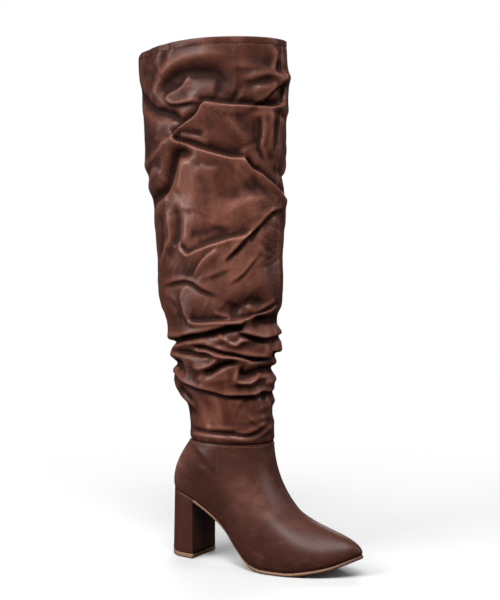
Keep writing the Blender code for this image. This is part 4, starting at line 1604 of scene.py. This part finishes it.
@dataclass
class Foot:
    """Vamp and quarters drawn over the last, joined by a lapped seam on each side."""

    columns: int = 288
    rows: int = 92
    gather: float = 0.22
    gather_reach: float = 0.9
    slant_reach: float = 1.6
    ankle_centre: float = 75.5
    ankle_half_depth: float = 49.0
    ankle_half_width: float = 40.0
    wall_thick: float = 2.2
    seam_step: float = 0.55
    seam_soft: float = 0.022
    seam_rise: float = 9.0
    pinch: float = 0.25
    pinch_reach: float = 0.05
    sink: float = 0.5
    sink_reach: float = 0.012
    tuck: float = 0.7
    tuck_reach: float = 0.02
    dark: float = 0.5
    seam_dark_reach: float = 0.06
    sole_dark_reach: float = 0.03
    lining_step: int = 6
    station_run: float = 30.0
    wall_run: float = 80.0
    ridge_reach: float = 1.3
    ridge_passes: int = 70
    ridge_hold: float = 0.2

    def ring(self, deg: Array) -> tuple[Array, Array]:
        """The ankle seam, an oval.

        Args:
            deg: Bearings.

        Returns:
            Its points in plan, and their directions outwards.
        """
        turn = np.radians(deg)
        deep, wide = self.ankle_half_depth, self.ankle_half_width
        point = np.stack([self.ankle_centre + deep * np.cos(turn), -wide * np.sin(turn)], -1)
        return point, unit(np.stack([np.cos(turn) / deep, -np.sin(turn) / wide], -1))

    def plain(self, stations: Array, shares: Array) -> Array:
        """The last's surface: one cubic curve from the sole to the ankle at each station.

        Args:
            stations: Stations round the foot.
            shares: Shares of each curve, 0 at the sole and 1 at the ankle.

        Returns:
            Rows by columns of points.
        """
        stations = self.slanted(stations, shares)
        bulge, rise, lean, drop, deg = (round_the_last(name, stations)
                                        for name in ("bulge", "rise", "lean", "drop", "deg"))
        plan, out = feather_line(stations)
        ring, ring_out = self.ring(np.where(stations > LAST_STATION, 360.0 - deg, deg))
        foot = joined(plan, sole_top(plan[..., 0]) + GAP)
        head = joined(ring, np.full(stations.shape, ANKLE_HEIGHT))
        low = foot + joined(out * bulge[..., None], rise)
        high = head + joined(ring_out * lean[..., None], -drop)
        t = shares[:, None, None]
        return (1 - t) ** 3 * foot + 3 * t * (1 - t) ** 2 * low + 3 * t**2 * (1 - t) * high + t**3 * head

    def stations(self) -> Array:
        """Stations of the columns, drawn closer at the two side seams.

        Returns:
            One station to a column.
        """
        even = np.linspace(0.0, ROUND, self.columns, endpoint=False)
        for seam in (SEAM_STATION, INNER_SEAM_STATION):
            off = even - seam
            even = even - self.gather * np.tanh(off / self.gather) * bell(off, self.gather_reach)
        return np.mod(even, ROUND)

    def slanted(self, stations: Array, shares: Array) -> Array:
        """Stations at every row and column: near each side seam they lean towards the toe on the way up.

        Args:
            stations: Stations of the columns.
            shares: Shares of the rows.

        Returns:
            Rows by columns of stations.
        """
        near = bell(stations - SEAM_STATION, self.slant_reach)
        near = near - bell(stations - INNER_SEAM_STATION, self.slant_reach)
        return stations[None, :] + SEAM_SLANT * shares[:, None] * near[None, :]

    def creased(self, stations: Array, shares: Array) -> Array:
        """Sum of the foot's creases.

        Args:
            stations: Stations of the columns.
            shares: Shares of the rows.

        Returns:
            Relief at every row and column.
        """
        across, up = (grid.ravel() for grid in np.meshgrid(stations, shares))
        total = Field.blank(across.size)
        run, rise = np.full(across.size, self.station_run), np.full(across.size, self.wall_run)
        for crease in FOOT_CREASES:
            crease.add_to(total, across, up, run, rise)
        return total.relief.reshape(len(shares), len(stations))

    def lap(self, stations: Array) -> Array:
        """1 on the vamp, 0 on the quarters, stepping at each side seam."""
        outer, inner = SEAM_STATION - stations, stations - INNER_SEAM_STATION
        return step(outer, self.seam_soft) + step(inner, self.seam_soft)

    def from_seam(self, stations: Array) -> Array:
        """Stations' distance from the nearer side seam."""
        return np.minimum(np.abs(stations - SEAM_STATION), np.abs(stations - INNER_SEAM_STATION))

    def surface(self, stations: Array, shares: Array) -> tuple[Array, Array]:
        """The last's surface lifted by the vamp's lap and the creases, and drawn in at seams, ankle and sole.

        Args:
            stations: Stations of the columns.
            shares: Shares of the rows.

        Returns:
            The outer surface and its directions outwards.
        """
        plain = self.plain(stations, shares)
        out = outward(plain)
        rise = ease(shares * self.seam_rise)[:, None]
        pinch = -self.pinch * bell(self.from_seam(stations), self.pinch_reach)[None, :]
        sink = -self.sink * bell(1.0 - shares, self.sink_reach)[:, None]
        tuck = -self.tuck * bell(shares, self.tuck_reach)[:, None]
        lift = (self.seam_step * self.lap(stations)[None, :] + pinch) * rise + sink + tuck
        lift = lift + self.creased(stations, shares) * rise
        return plain + out * lift[..., None], out

    def eased(self, rows: Array, stations: Array, shares: Array) -> Array:
        """Rows with the ridge over the toes rounded: points near it move often to their neighbours' middle.

        Args:
            rows: Rows by columns of points.
            stations: Stations of the columns.
            shares: Shares of the rows, 0 at the sole and 1 at the ankle.

        Returns:
            The points, set to their own heights again at the sole and at the ankle.
        """
        hold = ease(shares / self.ridge_hold) * ease((1.0 - shares) / self.ridge_hold)
        near = bell(np.minimum(stations, ROUND - stations), self.ridge_reach)
        weight = 0.5 * (hold[:, None] * near[None, :])[..., None]
        for _ in range(self.ridge_passes):
            rows = rows + weight * (0.5 * (np.roll(rows, 1, axis=1) + np.roll(rows, -1, axis=1)) - rows)
        rows[0, :, 2] = sole_top(rows[0, :, 0]) + GAP
        rows[-1, :, 2] = ANKLE_HEIGHT
        return rows

    def shape(self) -> Shape:
        """The foot's closed wall, open above and below, dark along the side seams, with painted shade along
        the sole.

        Returns:
            The wall.
        """
        stations = self.stations()
        shares = np.linspace(0.0, 1.0, self.rows)
        outer, out = self.surface(stations, shares)
        outer = self.eased(outer, stations, shares)
        inner = self.eased(self.plain(stations, shares) - out * self.wall_thick, stations, shares)
        fold = -self.dark * bell(self.from_seam(stations), self.seam_dark_reach)[None, :]
        # painted shade along the foot of the upper, where it meets the sole
        fold = fold - self.dark * bell(shares, self.sole_dark_reach)[:, None]
        rub_and_light = rubbed_and_lit(FOOT_RUBS_AND_LIGHTS, stations[None, :], shares[:, None], self.station_run, self.wall_run, ROUND)
        return wall(outer, inner[every(self.rows, self.lining_step)], fold, rub_and_light)


# Sole and heel

@dataclass
class Sole:
    """The thin sole from the toe to the heel breast: a rounded edge carried round the feather line."""

    proud: float = 0.9
    thinned: float = 0.42
    breast_thinned: float = 0.6
    bevel: float = 1.6
    breast_run: float = 60.0
    waist_end: float = 105.0
    waist_run: float = 45.0
    inset_rise: float = 3.0
    least_inset: float = 0.12
    samples: int = 90
    edge: tuple[Pair, ...] = ((7.0, 0.0), (2.0, 0.0), (0.7, 0.05), (0.15, 0.25), (0.0, 0.5), (0.1, 0.8),
                              (0.5, 0.97), (2.0, 1.0), (7.0, 1.0))

    def shape(self) -> Shape:
        """Rings from the underside over the rounded edge to the top: each is the outline moved in and up.

        Returns:
            The solid, thinner and bevelled along the waist.
        """
        outer = np.linspace(0.0, BREAST_STATION, self.samples)
        plan, out = feather_line(np.concatenate([outer, ROUND - outer[:0:-1]]))
        breast = LAST_ROWS[BREAST_STATION].x
        ahead = ease((plan[:, 0] - breast) / self.breast_run)
        waist = ease((breast + self.waist_end - plan[:, 0]) / self.waist_run)
        waist = waist * (self.breast_thinned + (1.0 - self.breast_thinned) * ahead)
        thin, bevel = self.thinned * waist, self.bevel * waist * ahead
        inward = np.clip(ahead * self.inset_rise + self.least_inset, 0.0, 1.0)
        rings = []
        for inset, share in self.edge:
            move = self.proud * ahead - inset * inward - bevel * (1.0 - share)
            edge = plan + out * move[:, None]
            edge[:, 0] = np.maximum(edge[:, 0], breast + GAP)
            floor, top = sole_floor(edge[:, 0]), sole_top(edge[:, 0])
            rings.append(np.column_stack([edge, floor + (top - floor) * (thin + (1.0 - thin) * share)]))
        return capped(rings)


@dataclass
class Heel:
    """Covered block heel with a hollowed breast, on its tan wearing piece."""

    spread: float = 0.98
    waist: float = 0.985
    kick: float = 1.06
    hollow: float = 2.0
    hollow_power: float = 0.7
    seam: float = 0.5
    seam_share: float = 0.8 / 48.0
    top_piece: float = 5.0
    side_points: int = 72
    breast_points: int = 24
    around: int = 160
    corner_passes: int = 3
    front: float = 20.0
    block_edge: tuple[Pair, ...] = (
        (0.0, 0.6), (0.006, 0.15), (0.02, 0.0), (0.15, 0.0), (0.3, 0.0), (0.5, 0.0), (0.7, 0.0), (0.85, 0.0),
        (0.97, 0.0), (0.993, 0.2), (1.0, 0.7))
    wearing_edge: tuple[Pair, ...] = (
        (0.0, 1.0), (0.25, 0.3), (0.9, 0.0), (2.6, 0.0), (4.4, 0.0), (4.85, 0.15), (5.0, 0.6))

    def outline(self) -> tuple[Array, Array]:
        """Plan of the heel: round the back along the feather line, then across the breast, hollow and seamed.

        Returns:
            The plan at the floor and the one at the seat.
        """
        plan, _ = feather_line(np.linspace(BREAST_STATION, ROUND - BREAST_STATION, self.side_points))
        breast = LAST_ROWS[BREAST_STATION].x
        across = np.linspace(0.0, 1.0, self.breast_points + 1)[1:-1]
        line = plan[-1] + (plan[0] - plan[-1]) * across[:, None]
        dip = self.hollow * np.sin(math.pi * across) ** self.hollow_power
        line[:, 0] = line[:, 0] - dip - self.seam * bell(across - 0.5, self.seam_share)
        seat = self.rounded(np.concatenate([plan, line]))
        floor = np.column_stack([breast - (breast - seat[:, 0]) * self.kick, seat[:, 1] * self.spread])
        return floor, seat

    def rounded(self, outline: Array) -> Array:
        """An outline with its points spread evenly along it and its corners eased.

        Args:
            outline: Points in plan.

        Returns:
            An even number of points, starting in the middle of the breast.
        """
        closed = np.concatenate([outline, outline[:1]])
        run = run_along(closed)
        even = read_along(closed, run, np.linspace(0.0, run[-1], self.around, endpoint=False))
        for _ in range(self.corner_passes):
            even = 0.5 * even + 0.25 * (np.roll(even, 1, axis=0) + np.roll(even, -1, axis=0))
        off_middle = np.where(even[:, 0] < self.front, np.inf, np.abs(even[:, 1]))
        return np.roll(even, -np.argmin(off_middle), axis=0)

    def inset(self, plan: Array, by: float) -> Array:
        """A plan drawn in towards its middle."""
        return plan - unit(plan - plan.mean(axis=0)) * by

    def block(self) -> Shape:
        """Rings of the block from floor to seat, waisted between and eased at foot and head.

        Returns:
            The solid.
        """
        floor, seat = self.outline()
        foot = self.top_piece + GAP
        head = np.minimum(sole_top(seat[:, 0]), sole_top(np.array([0.0]))[0])
        rings = []
        for share, inset in self.block_edge:
            plan = floor + (seat - floor) * share
            plan[:, 1] = plan[:, 1] * (1.0 - (1.0 - self.waist) * 4 * share * (1 - share))
            rings.append(np.column_stack([self.inset(plan, inset), foot + (head - foot) * share]))
        return capped(rings)

    def wearing(self) -> Shape:
        """Rings of the tan piece under the block, its edges eased.

        Returns:
            The solid.
        """
        floor, _ = self.outline()
        return capped([joined(self.inset(floor, inset), np.full(len(floor), height))
                       for height, inset in self.wearing_edge])


# Stitching

class SeamRow(NamedTuple):
    """A line that is sewn along, and the directions out of the leather there."""

    line: Array
    out: Array


@dataclass
class Stitching:
    """Rows of sewn stitches: one small swollen thread repeated along each seam."""

    leg: Leg
    foot: Foot
    long: float = 2.2
    thick: float = 0.5
    pitch: float = 3.0
    lift: float = 0.12
    rings: int = 5
    sides: int = 6
    blunt: float = 0.02
    foot_samples: int = 160
    ankle_drop: float = 2.6
    side_rows: tuple[Pair, ...] = ((SEAM_STATION, -0.075), (INNER_SEAM_STATION, 0.095))
    side_trim: tuple[int, int] = (12, -8)
    shin_off: float = 2.0
    shin_trim: tuple[int, int] = (30, -6)

    def template(self) -> tuple[Array, Array]:
        """A thread as a grid of rings along it, swollen in the middle like an ellipse with blunt ends.

        Returns:
            Its points and its faces.
        """
        along = np.linspace(-1.0, 1.0, self.rings)[:, None]
        turn = np.linspace(0.0, 2 * math.pi, self.sides, endpoint=False)[None, :]
        radius = self.thick * np.sqrt(np.clip(1.0 + self.blunt - along**2, self.blunt, 1.0))
        run = 0.5 * self.long * along + np.zeros_like(turn)
        grid = np.stack([run, radius * np.cos(turn), radius * np.sin(turn)], -1)
        ends = np.array([[0, 1, 2, 3], [0, 3, 4, 5]])
        last = (self.rings - 1) * self.sides
        faces = np.concatenate([ring_faces(self.rings, self.sides), ends[:, ::-1], ends + last])
        return grid.reshape(-1, 3), faces

    def along_line(self, row: SeamRow) -> tuple[Array, Array, Array]:
        """Stitches' middles, directions and outward directions, a pitch apart along a line.

        Args:
            row: The seam's line.

        Returns:
            Three arrays of one row per stitch.
        """
        run = run_along(row.line)
        at = np.arange(0.5 * self.pitch, run[-1] - 0.5 * self.pitch, self.pitch)
        ahead = read_along(row.line, run, at + 0.5) - read_along(row.line, run, at - 0.5)
        return read_along(row.line, run, at), unit(ahead), unit(read_along(row.out, run, at))

    def shape(self, rows: Sequence[SeamRow]) -> Shape:
        """All stitches of some seams in one mesh: the thread turned into each stitch's own axes.

        Args:
            rows: The seams' lines.

        Returns:
            The stitches.
        """
        grid, faces = self.template()
        parts = [self.along_line(row) for row in rows]
        middle, ahead, out = (np.concatenate([part[k] for part in parts]) for k in range(3))
        side = unit(np.cross(out, ahead))
        out = np.cross(ahead, side)
        points = (middle[:, None] + ahead[:, None] * grid[None, :, :1] + side[:, None] * grid[None, :, 1:2]
                  + out[:, None] * (grid[None, :, 2:] + self.lift))
        numbered = (np.arange(len(middle)) * len(grid))[:, None, None] + faces[None]
        return Shape(points.reshape(-1, 3), numbered.reshape(-1, 4))

    def on_foot(self) -> Shape:
        """The row round the ankle just under the seam, and one beside each side seam.

        Returns:
            The stitches of the three rows.
        """
        stations = self.foot.stations()
        surface, out = self.foot.surface(stations, np.linspace(0.0, 1.0, self.foot_samples))
        row = np.abs(surface[..., 2] - (ANKLE_HEIGHT - self.ankle_drop)).argmin(axis=0)
        pick = np.arange(len(stations))
        rows = [SeamRow(surface[row, pick], out[row, pick])]
        for seam, off in self.side_rows:
            near = np.abs(stations - (seam + off)).argmin()
            sewn = slice(*self.side_trim)
            rows.append(SeamRow(surface[sewn, near], out[sewn, near]))
        return self.shape(rows)

    def on_leg(self) -> Shape:
        """The row beside the shin seam.

        Returns:
            Its stitches.
        """
        surface = self.leg.at(self.leg.relief + self.leg.seam_ridge(), self.leg.along, self.leg.up)
        near = np.abs(wrapped(self.leg.deg - SHIN_SEAM_DEG - self.shin_off)).argmin()
        sewn = slice(*self.shin_trim)
        return self.shape([SeamRow(surface[sewn, near], outward(surface)[sewn, near])])


# Stage

class Softbox(NamedTuple):
    """One soft light: where it stands, how wide and tall it is, and its power."""

    name: str
    place: tuple[float, float, float]
    wide: float
    tall: float
    power: float


@dataclass
class Studio:
    """Pale floor, soft lights and the camera."""

    place: Place
    eye: tuple[float, float, float] = (843.5, -1234.2, 384.5)
    yaw_deg: float = -31.1
    pitch_deg: float = -3.54
    lens: float = 77.74
    sensor: float = 36.0
    aim: tuple[float, float, float] = (0.0, 0.0, 0.3)
    lights: tuple[Softbox, ...] = (
        Softbox("top", (0.6, -1.1, 2.2), 1.4, 1.0, 66.0),
        Softbox("key", (-0.8, -1.8, 1.7), 1.0, 1.2, 40.0),
        Softbox("left strip", (-1.5, -1.4, 0.7), 0.6, 1.4, 18.0),
        Softbox("right strip", (1.9, 0.5, 1.3), 0.8, 1.5, 16.0),
        Softbox("back", (-0.9, 1.7, 1.6), 1.4, 1.4, 40.0),
    )
    lit_world: Pair = (0.04, 0.16)
    lit_span: Pair = (-0.6, 0.9)
    seen_world: float = 1.0
    floor_half: float = 6.0
    floor_height: float = -0.0002
    floor_grey: float = 0.56
    floor_fade: Pair = (0.25, 0.8)
    floor_roughness: float = 0.6

    def camera(self) -> None:
        """Sets the camera where the photograph was taken, turned so that the boot is in the middle."""
        yaw, pitch = math.radians(self.yaw_deg), math.radians(self.pitch_deg)
        ahead = np.array([math.cos(pitch) * math.sin(yaw), math.cos(pitch) * math.cos(yaw), math.sin(pitch)])
        right = np.array([math.cos(yaw), -math.sin(yaw), 0.0])
        lens = bpy.data.cameras.new("view")
        lens.lens = self.lens
        lens.sensor_width = self.sensor
        lens.sensor_fit = "AUTO"
        view = bpy.data.objects.new("view", lens)
        turn = np.eye(4)
        turn[:3, 0], turn[:3, 1], turn[:3, 2] = right, np.cross(right, ahead), -ahead
        turn[:3, 3] = self.place.metres(np.array(self.eye))
        view.matrix_world = Matrix(turn.tolist())
        bpy.context.scene.collection.objects.link(view)
        bpy.context.scene.camera = view

    def softboxes(self) -> None:
        """Hangs the lights, each turned to the boot."""
        for box in self.lights:
            lamp = bpy.data.lights.new(box.name, "AREA")
            lamp.shape = "RECTANGLE"
            lamp.size, lamp.size_y = box.wide, box.tall
            lamp.energy = box.power
            held = bpy.data.objects.new(box.name, lamp)
            held.location = box.place
            held.rotation_euler = (Vector(self.aim) - Vector(box.place)).to_track_quat("-Z", "Y").to_euler()
            bpy.context.scene.collection.objects.link(held)

    def world(self) -> None:
        """White behind the boot, and a dimmer even light all round it."""
        sky = bpy.data.worlds.new("studio")
        sky.use_nodes = True
        graph = Graph(sky.node_tree)
        seen = graph.add("LightPath").outputs["Is Camera Ray"]
        way = graph.add("SeparateXYZ", {0: graph.add("TexCoord").outputs["Generated"]}).outputs["Z"]
        lit = graph.ranged(way, self.lit_span, self.lit_world)
        strength = graph.add("Mix", {"Factor": seen, 2: lit, 3: self.seen_world}).outputs[0]
        graph.set(sky.node_tree.nodes["Background"], {"Color": rgba((1.0, 1.0, 1.0)), "Strength": strength})
        bpy.context.scene.world = sky
        bpy.context.scene.view_settings.view_transform = "Standard"

    def floor(self) -> None:
        """A wide pale floor just under the sole, fading into the white behind it."""
        mesh = bpy.data.meshes.new("floor")
        square = [(x * self.floor_half, y * self.floor_half, self.floor_height)
                  for x, y in ((-1, -1), (1, -1), (1, 1), (-1, 1))]
        mesh.from_pydata(square, [], [(0, 1, 2, 3)])
        made, graph, shader = new_material("pale floor")
        away = graph.add("VectorMath", {0: graph.place()}, operation="LENGTH").outputs["Value"]
        far = graph.ranged(away, self.floor_fade)
        black, white = rgba((0.0, 0.0, 0.0)), rgba((1.0, 1.0, 1.0))
        grey = rgba((self.floor_grey, self.floor_grey, self.floor_grey))
        graph.set(shader, {"Base Color": graph.mix(far, grey, black), "Emission Strength": 1.0,
                           "Emission Color": graph.mix(far, black, white),
                           "Roughness": self.floor_roughness, "Specular IOR Level": 0.0})
        mesh.materials.append(made)
        ground = bpy.data.objects.new("floor", mesh)
        bpy.context.scene.collection.objects.link(ground)
        ground.visible_diffuse = False
        ground.visible_glossy = False

    def build(self) -> None:
        """Sets up everything round the boot."""
        self.camera()
        self.softboxes()
        self.world()
        self.floor()


def main() -> None:
    """Builds the boot's pieces in order and reports each one's points and faces."""
    logging.basicConfig(level=logging.INFO, format="%(name)s %(message)s")
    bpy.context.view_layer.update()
    place = Place.find()
    groups = Groups.make()
    slouch = Leather("slouch leather").material(groups)
    smooth_hide = Leather("foot leather", body=(0.066, 0.0205, 0.0140), worn_and_lit=(0.205, 0.086, 0.062),
                          cloud_gain=0.4, ridge_gain=0.2, patch_gain=0.2, crackle_gain=0.1,
                          slack_depth=0.00012, stretch=2.2, roughness=(0.34, 0.42), coat=0.26,
                          coat_roughness=0.32).material(groups)
    cover = Leather("heel cover", body=(0.062, 0.0185, 0.0118), cloud_gain=0.2, patch_gain=0.08,
                    crackle_gain=0.0, slack_depth=0.00005, stretch=1.0,
                    roughness=(0.4, 0.48)).material(groups)
    band = Leather("band leather", ridge_gain=0.4).material(groups)
    tan = SoleFinish("tan sole stock").material(groups)
    wear = SoleFinish("tan wearing stock", light=(0.30, 0.16, 0.085)).material(groups)
    lining = Lining("textile lining").material(groups)
    thread = Thread("brown thread").material()
    pale_thread = Thread("pale thread", light=(0.23, 0.115, 0.085), dark=(0.085, 0.038, 0.027)).material()
    Studio(place).build()
    leg, foot, heel = Leg(), Foot(), Heel()
    sewing = Stitching(leg, foot)
    pieces = [
        make_piece("slouched_shaft", leg.shape(), place, (slouch, lining), "shaft", sharp_deg=80.0),
        make_piece("turned_collar_band", Collar(leg).shape(), place, (band,), "collar_band"),
        make_piece("foot_upper", foot.shape(), place, (smooth_hide, lining), "upper"),
        make_piece("tan_outsole", Sole().shape(), place, (tan,), "outsole", sharp_deg=60.0),
        make_piece("covered_heel_block", heel.block(), place, (cover,), "heel_block", sharp_deg=60.0),
        make_piece("tan_heel_top_piece", heel.wearing(), place, (wear,), "heel_top_piece", sharp_deg=60.0),
        make_piece("foot_stitches", sewing.on_foot(), place, (thread,), "upper", replaces=False),
        make_piece("leg_stitches", sewing.on_leg(), place, (pale_thread,), "shaft", replaces=False),
    ]
    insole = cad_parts["insole"]
    insole.data.materials.clear()
    insole.data.materials.append(lining)
    for piece in [*pieces, insole]:
        LOG.info("%s: %d points, %d faces", piece.name, len(piece.data.vertices), len(piece.data.polygons))


if __name__ == "__main__":
    main()
